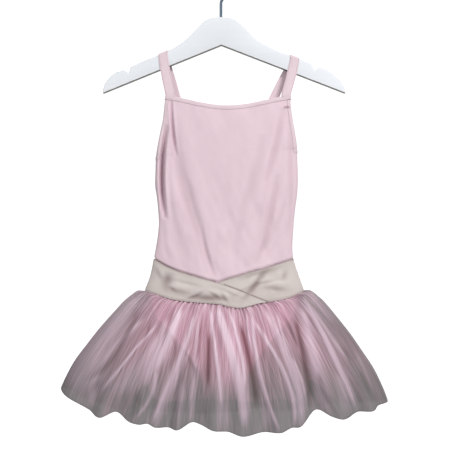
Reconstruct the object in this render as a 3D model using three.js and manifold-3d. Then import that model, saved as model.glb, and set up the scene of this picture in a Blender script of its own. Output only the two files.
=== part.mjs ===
// A child's camisole ballet leotard with a crossed satin waistband and a gathered skirt of two
// layers of net, on a flat wooden hanger.
//
// Millimetres. +Z is up, the garment's front faces -Y and the origin is the inside of the hook's
// crown, where a rail carries it. Left and right are as seen from the front.

import * as THREE from 'three';
import { mergeVertices } from 'three/addons/utils/BufferGeometryUtils.js';
import Module from 'manifold-3d';

// Seams and walls
const GAP = 0.3; // between any two pieces
const EASE = 0.1; // more room where a straight piece meets a curved edge
const JERSEY = 1.2; // wall of bodice and brief
const SATIN = 1.2;
const NET = 1.3; // wall that stands for one layer of net
const BINDING = { wide: 6, proud: 0.4, wall: 2.0 };
const STRAP = { wide: 12.5, wall: 1.2 };

// Hanger
const WOOD = { thick: 12, bevel: 1.5, tilt: THREE.MathUtils.degToRad(0.75), foot: -59.8, apex: -96.8 };
const WIRE = { radius: 1.95, crown: 18, crownEnd: 1.1 * Math.PI, bend: 10, inWood: 20, sides: 8, steps: 40 };

// Heights of the garment
const NECK = { corner: -162, dip: 12.6, middle: 9, half: 80.8 };
const ARM = { left: -240, right: -231 };
const ARM_EDGE_OUT = 8; // how far the front armhole edge stands forward at the neck
const BACK_NECK = { peak: -209, dip: 23, half: 46, peakOut: 52.2 };
const WAIST = -415;
const CROTCH = -548;

// How round the flattened tube of the body is: 0.5 is an ellipse, less is boxier
const ROUND = 0.375;
const BRIEF_ROUND = 0.45;

const lerp = THREE.MathUtils.lerp;
const clamp = THREE.MathUtils.clamp;
const bell = (distance, width) => Math.exp(-0.5 * (distance / width) ** 2);

function table(names, ...rows) {
  return rows.map((row) => Object.fromEntries(row.map((value, k) => [names[k], value])));
}

// A smooth curve through a table's rows: `along` is the column it steps through.
function curve(rows, along, name) {
  const last = rows.length - 1;
  const slope = (k) => {
    const before = rows[Math.max(k - 1, 0)];
    const after = rows[Math.min(k + 1, last)];
    return (after[name] - before[name]) / (after[along] - before[along]);
  };
  const way = Math.sign(rows[1][along] - rows[0][along]);
  return (at) => {
    let k = 0;
    while (k < last - 1 && way * (at - rows[k + 1][along]) > 0) k++;
    const span = rows[k + 1][along] - rows[k][along];
    const f = clamp((at - rows[k][along]) / span, 0, 1);
    const g = 1 - f;
    return (
      g * g * (1 + 2 * f) * rows[k][name] +
      f * f * (1 + 2 * g) * rows[k + 1][name] +
      f * g * span * (g * slope(k) - f * slope(k + 1))
    );
  };
}

// Outline of the body seen from the front, and how deep its front and back stand
const BODY = table(
  ['z', 'left', 'right', 'front', 'back'],
  [-163, -71.9, 90.4, 12, 11],
  [-177, -73.8, 91.0, 12.5, 12],
  [-193, -75.6, 93.4, 13, 12.5],
  [-209, -79.0, 96.2, 13, 13],
  [-224, -82.0, 98.6, 13, 13],
  [-240, -84.5, 99.2, 13, 13],
  [-263, -85.4, 100.0, 13, 13],
  [-279, -85.6, 99.9, 13, 13],
  [-294, -83.4, 98.6, 13, 13],
  [-310, -81.8, 96.4, 13, 13],
  [-326, -80.8, 94.8, 13, 13],
  [-341, -81.9, 93.8, 13.5, 13.5],
  [-357, -84.3, 92.9, 14, 14],
  [-372, -87.1, 94.2, 15, 15],
  [-396, -92.3, 101.6, 17, 17],
  [-414, -98.8, 107.6, 19, 19],
  [-436, -103, 110, 20, 20],
);
const outlineLeft = curve(BODY, 'z', 'left');
const outlineRight = curve(BODY, 'z', 'right');
const frontDepth = curve(BODY, 'z', 'front');
const backDepth = curve(BODY, 'z', 'back');

// Main creases of the front bodice: each runs from its top to its foot, bowed to one side
const FRONT_CREASES = table(
  ['topX', 'topZ', 'footX', 'footZ', 'bow', 'wide', 'deep'],
  [-70.5, -203, -72.4, -322, -5.4, 2.9, 5.2],
  [-64, -166, -9, -398, -7.5, 4.6, 2.3],
  [78, -184, 58, -262, 2, 5, 1.8],
  [56, -212, 24, -322, 3, 6, 1.4],
  [74, -264, 43, -378, 3, 5, 2.3],
  [83, -300, 54, -366, 2, 4, 1.6],
  [84, -196, 86, -348, 3, 3, 1.5],
  [-60, -300, -38, -396, -3, 7, 1.3],
);
const BACK_CREASES = table(
  ['topX', 'topZ', 'footX', 'footZ', 'bow', 'wide', 'deep'],
  [-50, -214, -22, -330, 5, 5, 2.0],
  [56, -216, 34, -352, -4, 6, 1.9],
  [-70, -262, -48, -376, 3, 5, 1.8],
  [82, -270, 64, -366, -3, 4, 1.6],
  [8, -262, 2, -384, 4, 8, 1.3],
);

// Puckers of the front waistband: where, how long and tall, and how they lean
const WAIST_PUCKERS = table(
  ['x', 'z', 'long', 'tall', 'lean', 'deep'],
  [-17, -424, 15, 3.2, -0.05, 2.0],
  [-69, -400, 5, 8, -0.3, 1.8],
  [-52, -416, 12, 3, -0.2, 1.2],
  [43, -408, 13, 2.8, 0.9, 1.9],
  [50, -391, 17, 3.4, 0.25, 1.4],
  [70, -412, 10, 3, -0.1, 1.2],
);

function creaseDepth(creases, x, z) {
  let depth = 0;
  for (const c of creases) {
    const f = (z - c.topZ) / (c.footZ - c.topZ);
    if (f <= 0 || f >= 1) continue;
    const middle = lerp(c.topX, c.footX, f) + c.bow * 4 * f * (1 - f);
    depth += c.deep * Math.sin(Math.PI * f) ** 0.6 * bell(x - middle, c.wide);
  }
  return depth;
}

function puckerDepth(puckers, x, z) {
  let depth = 0;
  for (const p of puckers) {
    const along = (x - p.x) * Math.cos(p.lean) + (z - p.z) * Math.sin(p.lean);
    const across = (z - p.z) * Math.cos(p.lean) - (x - p.x) * Math.sin(p.lean);
    depth += p.deep * bell(along, p.long) * bell(across, p.tall);
  }
  return depth;
}

const acrossBody = (s, z) => lerp(outlineLeft(z), outlineRight(z), (s + 1) / 2);
const placeOf = (x, z) => (2 * x - outlineLeft(z) - outlineRight(z)) / (outlineRight(z) - outlineLeft(z));
const roundness = (s) => Math.max(1 - s * s, 0) ** ROUND;
const armAt = (s) => lerp(ARM.left, ARM.right, (s + 1) / 2);

// The body's front and back: s runs from -1 at the left side seam to 1 at the right one.
function frontOf(s, z, creases = 1) {
  const x = acrossBody(s, z);
  const above = Math.max(z - armAt(s), 0) / (NECK.corner - armAt(s));
  const edge = ARM_EDGE_OUT * Math.sqrt(above);
  const depth = edge + (frontDepth(z) - edge) * roundness(s);
  return new THREE.Vector3(x, -GAP / 2 - depth + creases * creaseDepth(FRONT_CREASES, x, z), z);
}

function backOf(s, z, creases = 1) {
  const x = acrossBody(s, Math.min(z, armAt(s)));
  const depth = backDepth(z) * roundness(s);
  return new THREE.Vector3(x, GAP / 2 + depth - creases * creaseDepth(BACK_CREASES, x, z), z);
}

// The way out of a smooth surface at (a, b), by small steps, pointing to the viewer's side
function wayOut(surface, a, b, facing) {
  const step = 1e-4;
  const at = clamp(a, -1 + 2 * step, 1 - 2 * step);
  const da = surface(at + step, b).sub(surface(at - step, b));
  const db = surface(at, b + 0.01).sub(surface(at, b - 0.01));
  return db.cross(da).normalize().multiplyScalar(facing);
}

// At a side seam the cloth faces straight to the side, so that front and back meet squarely
function squareAtSeam(out, s) {
  return Math.abs(s) > 1 - 1e-6 ? out.setY(0).normalize() : out;
}
const frontOut = (s, z) => squareAtSeam(wayOut((a, b) => frontOf(a, b, 0), s, z, -1), s);
const backOut = (s, z) => squareAtSeam(wayOut((a, b) => backOf(a, b, 0), s, z, 1), s);

// One closed wall of cloth. place(u, v) gives a point of the outer face and the way out there; u
// runs to the right and v down, as seen from outside, and the inner face lies a wall further in.
function clothWall({ columns, rows, wall, proud = 0 }, place) {
  const positions = [];
  for (const shift of [proud, proud - wall]) {
    for (let j = 0; j <= rows; j++) {
      for (let i = 0; i <= columns; i++) {
        const { point, out } = place(i / columns, j / rows);
        positions.push(...point.clone().addScaledVector(out, shift).toArray());
      }
    }
  }
  const inner = (rows + 1) * (columns + 1);
  const index = [];
  const quad = (a, b, c, d) => index.push(a, b, c, b, d, c);
  const at = (i, j) => j * (columns + 1) + i;
  for (let j = 0; j < rows; j++) {
    for (let i = 0; i < columns; i++) {
      const corners = [at(i, j), at(i, j + 1), at(i + 1, j), at(i + 1, j + 1)];
      quad(...corners);
      const [a, b, c, d] = corners.map((k) => k + inner);
      quad(a, c, b, d);
    }
  }
  const edge = (a, b) => quad(a, a + inner, b, b + inner);
  for (let i = 0; i < columns; i++) {
    edge(at(i + 1, 0), at(i, 0));
    edge(at(i, rows), at(i + 1, rows));
  }
  for (let j = 0; j < rows; j++) {
    edge(at(0, j), at(0, j + 1));
    edge(at(columns, j + 1), at(columns, j));
  }
  const geometry = new THREE.BufferGeometry();
  geometry.setAttribute('position', new THREE.Float32BufferAttribute(positions, 3));
  geometry.setIndex(index);
  geometry.computeVertexNormals();
  return geometry;
}

// Columns crowd at the side seams, where the cloth turns
const spread = (u) => lerp(-Math.cos(Math.PI * u), 2 * u - 1, 0.4);

// The height where column s of a surface meets an edge that is given as a height over x
function meet(surface, s, edge) {
  let z = edge(0);
  for (let k = 0; k < 6; k++) z = edge(surface(s, z, 0).x);
  return z;
}

// An edge moved down by `width`, measured square to the edge
function below(edge, width) {
  return (x) => edge(x) - width * Math.hypot(1, (edge(x + 0.5) - edge(x - 0.5)));
}

// Edges, each as a height over x
const neckEdge = (x) => {
  const turn = clamp((x - NECK.middle) / NECK.half, -1, 1);
  return NECK.corner - NECK.dip * Math.cos((turn * Math.PI) / 2) ** 1.5;
};

function backTopEdge(x) {
  const out = Math.abs(x);
  if (out < BACK_NECK.half) {
    return BACK_NECK.peak - BACK_NECK.dip * (0.5 + 0.5 * Math.cos((Math.PI * out) / BACK_NECK.half));
  }
  const foot = x < 0 ? ARM.left : ARM.right;
  const side = Math.abs(x < 0 ? outlineLeft(foot) : outlineRight(foot));
  const f = clamp((side - out) / (side - BACK_NECK.peakOut), 0, 1);
  return foot + (BACK_NECK.peak - foot) * f * f * (3 - 2 * f);
}

// The crossed front waistband: top edges of its two wedges, and the seam that holds the skirt
const OVER_TOP = table(
  ['x', 'z'],
  [-90, -371.5],
  [-69, -383.7],
  [-47.6, -391.6],
  [-26, -398.1],
  [-5.6, -403.8],
  [14.3, -410.4],
  [39, -420.2],
  [62, -430],
);
const UNDER_TOP = table(
  ['x', 'z'],
  [-66, -421.6],
  [-30, -411.4],
  [-1.3, -402.6],
  [10.3, -398.8],
  [32, -392.4],
  [53.6, -386.4],
  [75.3, -379.8],
  [96, -373.2],
);
const SKIRT_SEAM = table(
  ['x', 'z'],
  [-108, -412.5],
  [-98.8, -415.0],
  [-79, -420.6],
  [-62, -425.4],
  [-40, -428.4],
  [-18.6, -430],
  [-1.3, -431.6],
  [13, -435.2],
  [24.7, -436.4],
  [36, -434.4],
  [50.7, -430.2],
  [68, -427.6],
  [87, -423.8],
  [99.8, -418.8],
  [112, -414.6],
);
const BACK_BAND = { topSide: -372, topDip: 5, seamSide: -414.5, seamDip: 8 };

const overTop = curve(OVER_TOP, 'x', 'z');
const underTop = curve(UNDER_TOP, 'x', 'z');
const skirtSeamFront = curve(SKIRT_SEAM, 'x', 'z');
const dipped = (side, dip) => (x) => side - dip * Math.cos((clamp(x / 104, -1, 1) * Math.PI) / 2);
const backBandTop = dipped(BACK_BAND.topSide, BACK_BAND.topDip);
const skirtSeamBack = dipped(BACK_BAND.seamSide, BACK_BAND.seamDip);

// Front bodice: its rows are the neck, the armholes, the turn under each armhole and the waist
function bodiceFront() {
  const turns = [0, 30, 60, 90].map(THREE.MathUtils.degToRad);
  const inset = BINDING.wide + 2.5 * GAP;
  const upper = [0, 0.17, 0.34, 0.52, 0.7, 0.86];
  const lower = [0.12, 0.25, 0.38, 0.52, 0.66, 0.8, 0.9, 1];
  const rowCount = upper.length + turns.length + lower.length - 1;
  const top = below(neckEdge, inset);
  const foot = (x) => Math.max(overTop(x), underTop(x)) + GAP + EASE;
  const rowOf = (s, j) => {
    const arm = armAt(s);
    if (j < upper.length) {
      return { z: lerp(meet(frontOf, s, top), arm, upper[j]), in: inset };
    }
    const k = j - upper.length;
    if (k < turns.length) {
      return { z: arm - inset * Math.sin(turns[k]), in: inset * Math.cos(turns[k]) };
    }
    const z = lerp(arm - inset, meet(frontOf, s, foot), lower[k - turns.length]);
    return { z, in: 0 };
  };
  return clothWall({ columns: 24, rows: rowCount, wall: JERSEY }, (u, v) => {
    const j = Math.round(v * rowCount);
    let s = spread(u);
    for (let k = 0; k < 3; k++) {
      const row = rowOf(s, j);
      const half = (outlineRight(row.z) - outlineLeft(row.z)) / 2;
      s = spread(u) * (1 - row.in / half);
    }
    const { z } = rowOf(s, j);
    return { point: frontOf(s, z), out: frontOut(s, z) };
  });
}

// The back's columns are shared with its bindings, so that their edges run side by side. The two
// peaks that carry the straps are columns too.
const backColumns = (() => {
  const left = placeOf(-BACK_NECK.peakOut, ARM.right);
  const right = placeOf(BACK_NECK.peakOut, ARM.right);
  const run = (from, to, count) => Array.from({ length: count }, (_, k) => lerp(from, to, k / count));
  const leftArm = run(-1, left, 5).map((s, k) => lerp(s, -1, 0.35 * Math.sin((Math.PI * k) / 5)));
  const rightArm = run(right, 1, 5).map((s, k) => lerp(s, 1, 0.35 * Math.sin((Math.PI * k) / 5)));
  return { list: [...leftArm, ...run(left, right, 12), ...rightArm, 1], arm: 5, neck: 12 };
})();

function backWall({ from, to, rows, ...wall }, edges) {
  const list = backColumns.list.slice(from, to + 1).reverse();
  const [top, foot] = edges;
  return clothWall({ columns: list.length - 1, rows, ...wall }, (u, v) => {
    const s = list[Math.round(u * (list.length - 1))];
    const z = lerp(meet(backOf, s, top), meet(backOf, s, foot), v);
    return { point: backOf(s, z), out: backOut(s, z) };
  });
}

function bodiceBack() {
  const last = backColumns.list.length - 1;
  const edges = [below(backTopEdge, BINDING.wide + GAP), (x) => backBandTop(x) + GAP];
  return backWall({ from: 0, to: last, rows: 12, wall: JERSEY }, edges);
}

function neckBindingFront() {
  const bottom = below(neckEdge, BINDING.wide);
  return clothWall({ columns: 24, rows: 2, wall: BINDING.wall, proud: BINDING.proud }, (u, v) => {
    const s = spread(u);
    const z = lerp(meet(frontOf, s, neckEdge), meet(frontOf, s, bottom), v);
    return { point: frontOf(s, z), out: frontOut(s, z) };
  });
}

function neckBindingBack() {
  const { arm, neck } = backColumns;
  const edges = [backTopEdge, below(backTopEdge, BINDING.wide)];
  const wall = { wall: BINDING.wall, proud: BINDING.proud };
  return backWall({ from: arm, to: arm + neck, rows: 2, ...wall }, edges);
}

// One armhole binding: down the front edge, round under the arm and up the back to the peak.
// Its stations are listed from the front neck corner; side is -1 on the left and 1 on the right.
function armholeBinding(side) {
  const foot = side < 0 ? ARM.left : ARM.right;
  const half = (outlineRight(foot) - outlineLeft(foot)) / 2;
  const inward = (mm) => side * (1 - mm / half);
  const neckFoot = below(neckEdge, BINDING.wide + 2 * GAP);
  const start = neckFoot(frontOf(side, NECK.corner).x);
  const stations = [0, 0.17, 0.34, 0.52, 0.7, 0.86].map((f) => {
    const z = lerp(start, foot, f);
    return { face: 'front', outer: [side, z], inner: [inward(BINDING.wide), z] };
  });
  for (const degrees of [0, 30, 60, 90]) {
    const turn = THREE.MathUtils.degToRad(degrees);
    const rise = 3 * (1 - degrees / 90) ** 2;
    const inner = [inward(BINDING.wide * Math.cos(turn)), foot - BINDING.wide * Math.sin(turn)];
    stations.push({ face: 'front', outer: [side, foot + rise], inner });
  }
  const { list, arm } = backColumns;
  const columns = side < 0 ? list.slice(0, arm + 1) : list.slice(-arm - 1).reverse();
  const low = below(backTopEdge, BINDING.wide);
  const last = columns[arm];
  for (const s of [...columns.slice(0, arm), lerp(last, columns[arm - 1], 0.05)]) {
    const outer = [s, meet(backOf, s, backTopEdge)];
    const inner = [s, meet(backOf, s, low)];
    stations.push({ face: 'back', outer, inner });
  }
  const count = stations.length - 1;
  const wall = { columns: 2, rows: count, wall: BINDING.wall, proud: BINDING.proud };
  return clothWall(wall, (u, v) => {
    const { face, outer, inner } = stations[Math.round(v * count)];
    const f = side < 0 ? u : 1 - u;
    const s = lerp(outer[0], inner[0], f);
    const z = lerp(outer[1], inner[1], f);
    if (face === 'front') return { point: frontOf(s, z), out: frontOut(s, z) };
    return { point: backOf(s, z), out: backOut(s, z) };
  });
}

// Front waistband. A wedge is set out between its top edge and the skirt seam, and `lift` moves
// the over wedge clear of the one that it crosses.
function waistWedge({ from, to, top, lift, columns, rows }) {
  const first = from === null ? -1 : placeOf(from, WAIST);
  const last = to === null ? 1 : placeOf(to, WAIST);
  return clothWall({ columns, rows, wall: SATIN }, (u, v) => {
    const s = lerp(first, last, lerp(u, spread(u) / 2 + 0.5, 0.5));
    const z = lerp(meet(frontOf, s, top), meet(frontOf, s, skirtSeamFront), v);
    const point = frontOf(s, z, 0);
    const out = frontOut(s, z);
    const middle = Math.sin(Math.PI * v) ** 0.5 * Math.sin(Math.PI * u) ** 0.5;
    const sunk = puckerDepth(WAIST_PUCKERS, point.x, z) * middle;
    return { point: point.addScaledVector(out, lift(point.x) - sunk), out };
  });
}

function waistbandOver() {
  const lift = (x) => (SATIN + GAP) * THREE.MathUtils.smoothstep(x, -92, -68) + 0.05;
  return waistWedge({ from: null, to: 60, top: overTop, lift, columns: 18, rows: 6 });
}

function waistbandUnder() {
  const lift = (x) => -2.4 * (1 - THREE.MathUtils.smoothstep(x, -22, 12));
  return waistWedge({ from: -58, to: null, top: underTop, lift, columns: 16, rows: 5 });
}

function waistbandBack() {
  return clothWall({ columns: 18, rows: 3, wall: SATIN }, (u, v) => {
    const s = -spread(u);
    const z = lerp(meet(backOf, s, backBandTop), meet(backOf, s, skirtSeamBack), v);
    return { point: backOf(s, z, 0), out: backOut(s, z) };
  });
}

// Skirt. Each layer spreads from the waist seam as it falls: `side` and `front` are how far out,
// `sideFall` and `frontFall` how far down, at each share of the cloth's length.
function layerOf(rows, sizes) {
  const spreads = table(['at', 'side', 'sideFall', 'front', 'frontFall'], ...rows);
  const names = ['side', 'sideFall', 'front', 'frontFall'];
  return { ...sizes, ...Object.fromEntries(names.map((name) => [name, curve(spreads, 'at', name)])) };
}
const OUTER = layerOf(
  [
    [0, 0, 0, 0, 0],
    [0.048, 8.5, -1.6, 5, 5],
    [0.114, 18.1, 5, 10, 15],
    [0.18, 27.1, 13, 14, 26],
    [0.294, 40.8, 29, 19, 45],
    [0.456, 59.5, 52, 26, 71],
    [0.609, 75.9, 75, 32, 96],
    [0.761, 91.5, 98, 38, 120],
    [0.907, 103.5, 122, 43, 144],
    [1, 109.5, 137, 46, 158],
  ],
  { inset: 0, under: 0, gathers: 36, high: 1.3, flutes: 1, rows: 8 },
);
const INNER = layerOf(
  [
    [0, 0, 0, 0, 0],
    [0.1, 4.5, 10, 1.5, 9],
    [0.22, 13, 23, 5, 22],
    [0.42, 27, 48, 10, 47],
    [0.62, 40, 75, 15, 73],
    [0.81, 50, 100, 20, 98],
    [1, 57, 124, 24, 123],
  ],
  { inset: 4.3, under: 1.2, gathers: 18, high: 0.8, flutes: 0.45, rows: 6 },
);
// The gathers fade out at `share` of the way down, and the flutes grow toward the hem
const GATHERS_FADE = { share: 0.4, power: 1.5 };
const FLUTES_GROW = 1.3;
const ROWS_CROWD = 1.35; // rows lie closer together near the gathers

// Flutes of the hem, from the left side seam (-1) to the right one (1): `out` is how far the net
// stands out there, and `drop` how far its edge hangs below the even hem
const FLUTES = table(
  ['at', 'out', 'drop'],
  [-1, 0, 0],
  [-0.93, 5, 1],
  [-0.82, -6, -2],
  [-0.733, 7, 3],
  [-0.65, -8, -11],
  [-0.56, 3, -1],
  [-0.495, 7, 1],
  [-0.452, 1, -2],
  [-0.4, 6, 2],
  [-0.33, -5, -1],
  [-0.269, 8, 3],
  [-0.19, -9, -10],
  [-0.134, -4, -7],
  [-0.06, 7, 1],
  [0.03, -1, -1],
  [0.11, 8, 4],
  [0.232, -8, -3],
  [0.336, 7, 3],
  [0.4, 2, -1],
  [0.452, 6, 0],
  [0.556, -12, -20],
  [0.64, 2, -6],
  [0.702, 9, 1],
  [0.812, -7, -4],
  [0.88, 6, 3],
  [0.94, -3, 0],
  [1, 0, 4],
);
const fluteOut = curve(FLUTES, 'at', 'out');
const fluteDrop = curve(FLUTES, 'at', 'drop');
// The back's flutes are like the front's, seen the other way round and shifted a little
const backPlace = (s) => clamp(-s + 0.05 * Math.sin(Math.PI * s), -1, 1);

// A face is -1 for the front half and 1 for the back half; s runs from the left seam to the right.
function skirtBase(layer, face, s, t) {
  const seam = face < 0 ? skirtSeamFront : skirtSeamBack;
  const surface = face < 0 ? frontOf : backOf;
  const point = surface(s, meet(surface, s, seam), 0);
  const facing = Math.sqrt(Math.max(1 - s * s, 0));
  point.x += (layer.side(t) - layer.inset) * s;
  point.y += face * (layer.front(t) - layer.inset) * facing;
  point.z -= lerp(layer.sideFall(t), layer.frontFall(t), facing ** 1.2);
  return point;
}

function skirtOut(layer, face, s, t) {
  const step = 1e-3;
  const at = clamp(s, -1 + step, 1 - step);
  const from = clamp(t, step, 1 - step);
  const ds = skirtBase(layer, face, at + step / 2, from).sub(skirtBase(layer, face, at - step / 2, from));
  const dt = skirtBase(layer, face, at, from + step).sub(skirtBase(layer, face, at, from - step));
  return squareAtSeam(dt.cross(ds).normalize().multiplyScalar(-face), s);
}

function skirtLayer(layer, face) {
  return clothWall({ columns: 2 * layer.gathers, rows: layer.rows, wall: NET }, (u, v) => {
    const s = face * Math.cos(Math.PI * u);
    const t = v ** ROWS_CROWD;
    const out = skirtOut(layer, face, s, t);
    const point = skirtBase(layer, face, s, t);
    const fade = Math.max(1 - t / GATHERS_FADE.share, 0) ** GATHERS_FADE.power;
    const gather = layer.high * fade * Math.cos(2 * Math.PI * layer.gathers * u);
    const grown = layer.flutes * t ** FLUTES_GROW;
    const place = face < 0 ? s : backPlace(s);
    point.addScaledVector(out, gather + fluteOut(place) * grown);
    point.z -= 1.5 * GAP + layer.under + layer.high * Math.max(out.z, 0) + fluteDrop(place) * grown;
    return { point, out };
  });
}

// Brief, by the share of the way down to the crotch: half its width, how deep it stands in the
// middle, and how far its leg edges stand from the side plane
const BRIEF = table(
  ['at', 'z', 'frontHalf', 'backHalf', 'deep', 'edge'],
  [0, WAIST, 96, 96, 13, 0],
  [0.12, -430, 93, 93, 13, 0],
  [0.24, -446, 88, 89, 12.5, 0.2],
  [0.36, -462, 74, 82, 11.5, 3],
  [0.48, -478, 60, 73, 10.5, 4.5],
  [0.6, -496, 45, 61, 9.5, 5],
  [0.72, -514, 33, 48, 8.5, 5],
  [0.83, -532, 27, 33, 7, 4.4],
  [0.9, -541, 26, 27, 6.2, 4.2],
  [0.95, -545.8, 26, 26, 4.4, 3.4],
  [1, CROTCH, 26, 26, 0.1, 0.1],
);
const BRIEF_MIDDLE = 4.5;
const BRIEF_SEAM_FADES = 0.4;
const briefColumn = (name) => curve(BRIEF, 'at', name);
const briefHalf = { [-1]: briefColumn('frontHalf'), 1: briefColumn('backHalf') };
const briefZ = briefColumn('z');
const briefDeep = briefColumn('deep');
const briefEdge = briefColumn('edge');

function briefPoint(face, s, t) {
  const seam = face < 0 ? skirtSeamFront : skirtSeamBack;
  const x = BRIEF_MIDDLE + s * briefHalf[face](t);
  const edge = briefEdge(t);
  const depth = edge + (briefDeep(t) - edge) * Math.max(1 - s * s, 0) ** BRIEF_ROUND;
  const toSeam = seam(x) - 3 * GAP - BRIEF[0].z;
  const z = briefZ(t) + toSeam * Math.max(1 - t / BRIEF_SEAM_FADES, 0);
  return new THREE.Vector3(x, face * (GAP / 2 + depth), z);
}

function brief(face) {
  const surface = (a, b) => briefPoint(face, a, b);
  return clothWall({ columns: 14, rows: 11, wall: JERSEY }, (u, v) => {
    const s = -face * spread(u);
    const t = lerp(v, v ** 0.8, 0.5);
    const from = clamp(t, 0.001, 0.999);
    const step = 0.001;
    const at = clamp(s, -1 + 2e-4, 1 - 2e-4);
    const ds = surface(at + 1e-4, from).sub(surface(at - 1e-4, from));
    const dt = surface(at, from + step).sub(surface(at, from - step));
    const out = dt.cross(ds).normalize().multiplyScalar(-face);
    if (v === 1) out.set(0, 0, -1);
    return { point: surface(s, t), out: squareAtSeam(out, s) };
  });
}

// Hanger outline: the top edge of one arm, from the hook's foot outward, before it is tilted
const ARM_TOP = table(
  ['out', 'z'],
  [0, -59.8],
  [10.4, -60.5],
  [18.5, -63.3],
  [25.4, -68.4],
  [33.2, -76],
  [40.3, -83.6],
  [49.4, -91.4],
  [62.4, -99.4],
  [81.9, -108.2],
  [103.4, -116.4],
  [117.9, -122.8],
);
const ARM_NOTCH = { out: 120.3, z: -130.9, lip: 126.8, lipZ: -126.4 };
const ARM_TIP = table(
  ['out', 'z'],
  [126.8, -126.4],
  [138.4, -130.6],
  [147.9, -138.2],
  [154.2, -146.2],
  [156.9, -153.6],
  [157.3, -159.2],
);
// The right arm is a little longer than the left one
const ARM_REACH = { [-1]: { out: -2.9, z: 2 }, 1: { out: 2.9, z: -2 } };

function tipPoint(side, row) {
  const share = (row.out - ARM_NOTCH.lip) / (ARM_TIP.at(-1).out - ARM_NOTCH.lip);
  const out = row.out + share * ARM_REACH[side].out;
  return new THREE.Vector2(side * out, row.z + share * ARM_REACH[side].z);
}

function armOutline(side) {
  const top = new THREE.SplineCurve(ARM_TOP.map((row) => new THREE.Vector2(side * row.out, row.z)));
  const tip = new THREE.SplineCurve(ARM_TIP.map((row) => tipPoint(side, row)));
  const notch = new THREE.Vector2(side * ARM_NOTCH.out, ARM_NOTCH.z);
  return [...top.getPoints(16), notch, ...tip.getPoints(8)];
}

function solidOf(wasm, geometry) {
  geometry.deleteAttribute('normal');
  geometry.deleteAttribute('uv');
  const merged = mergeVertices(geometry, 1e-4);
  const vertProperties = Float32Array.from(merged.attributes.position.array);
  const triVerts = Uint32Array.from(merged.index.array);
  return new wasm.Manifold(new wasm.Mesh({ numProp: 3, vertProperties, triVerts }));
}

function geometryOf(solid) {
  const mesh = solid.getMesh();
  const geometry = new THREE.BufferGeometry();
  geometry.setAttribute('position', new THREE.BufferAttribute(mesh.vertProperties, 3));
  geometry.setIndex(new THREE.BufferAttribute(mesh.triVerts, 1));
  return geometry;
}

// Turns about the foot of the hook, as the hanger hangs
function tilted(point) {
  const turn = new THREE.Vector3(0, -1, 0);
  return point.setZ(point.z - WOOD.foot).applyAxisAngle(turn, WOOD.tilt).setZ(point.z + WOOD.foot);
}

function hangerBody(wasm) {
  const right = armOutline(1);
  const left = armOutline(-1);
  const shape = new THREE.Shape([new THREE.Vector2(0, WOOD.apex), ...right.reverse(), ...left.slice(1)]);
  const flat = WOOD.thick - 2 * WOOD.bevel;
  const bevel = { bevelThickness: WOOD.bevel, bevelSize: WOOD.bevel, bevelOffset: -WOOD.bevel };
  const plate = new THREE.ExtrudeGeometry(shape, { depth: flat, bevelSegments: 2, ...bevel });
  plate.translate(0, 0, -flat / 2).rotateX(Math.PI / 2);
  plate.translate(0, 0, -WOOD.foot);
  plate.rotateY(-WOOD.tilt);
  plate.translate(0, 0, WOOD.foot);
  const hole = new THREE.CylinderGeometry(WIRE.radius + GAP, WIRE.radius + GAP, 2 * WIRE.inWood + 2, 14);
  hole.rotateX(Math.PI / 2).translate(0, 0, WOOD.foot);
  return geometryOf(solidOf(wasm, plate).subtract(solidOf(wasm, hole)));
}

// Wire hook: a straight shank, a small bend to one side and then the crown's round
function hangerHook() {
  const middle = WIRE.radius - WIRE.crown;
  const across = WIRE.crown + WIRE.bend;
  const bendZ = middle - Math.sqrt(across ** 2 - WIRE.bend ** 2);
  const meets = Math.asin(WIRE.bend / across);
  const points = [new THREE.Vector3(0, 0, WOOD.foot - WIRE.inWood)];
  for (const f of [0.35, 0.7, 1]) {
    points.push(new THREE.Vector3(0, 0, lerp(WOOD.foot - WIRE.inWood, bendZ, f)));
  }
  const bendTurn = Math.PI / 2 - meets;
  for (let k = 1; k <= 3; k++) {
    const turn = (bendTurn * k) / 3;
    points.push(new THREE.Vector3(WIRE.bend * (1 - Math.cos(turn)), 0, bendZ + WIRE.bend * Math.sin(turn)));
  }
  const start = -Math.PI / 2 + meets;
  for (let k = 1; k <= 16; k++) {
    const turn = lerp(start, WIRE.crownEnd, k / 16);
    points.push(new THREE.Vector3(WIRE.crown * Math.cos(turn), 0, middle + WIRE.crown * Math.sin(turn)));
  }
  const section = new THREE.Shape(
    Array.from({ length: WIRE.sides }, (_, k) => {
      const turn = (2 * Math.PI * k) / WIRE.sides;
      return new THREE.Vector2(WIRE.radius * Math.cos(turn), WIRE.radius * Math.sin(turn));
    }),
  );
  const path = new THREE.CatmullRomCurve3(points);
  return new THREE.ExtrudeGeometry(section, { steps: WIRE.steps, extrudePath: path });
}

// Height of the wood's top edge at x, tilted as it hangs
const armTop = curve(ARM_TOP, 'out', 'z');
function woodTop(x) {
  const point = new THREE.Vector3();
  for (let k = 0, flat = x; k < 3; k++, flat += x - point.x) {
    tilted(point.set(flat, 0, armTop(Math.abs(flat))));
  }
  return point.z;
}

// A strap: `front` and `back` are the middles of its ends on the neck edge and on the back's
// peak. It lies against the wood, square over its sloping top.
const STRAPS = { [-1]: { front: -66, over: -75, back: -45.8 }, 1: { front: 84.5, over: 95.5, back: 45.8 } };

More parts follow.
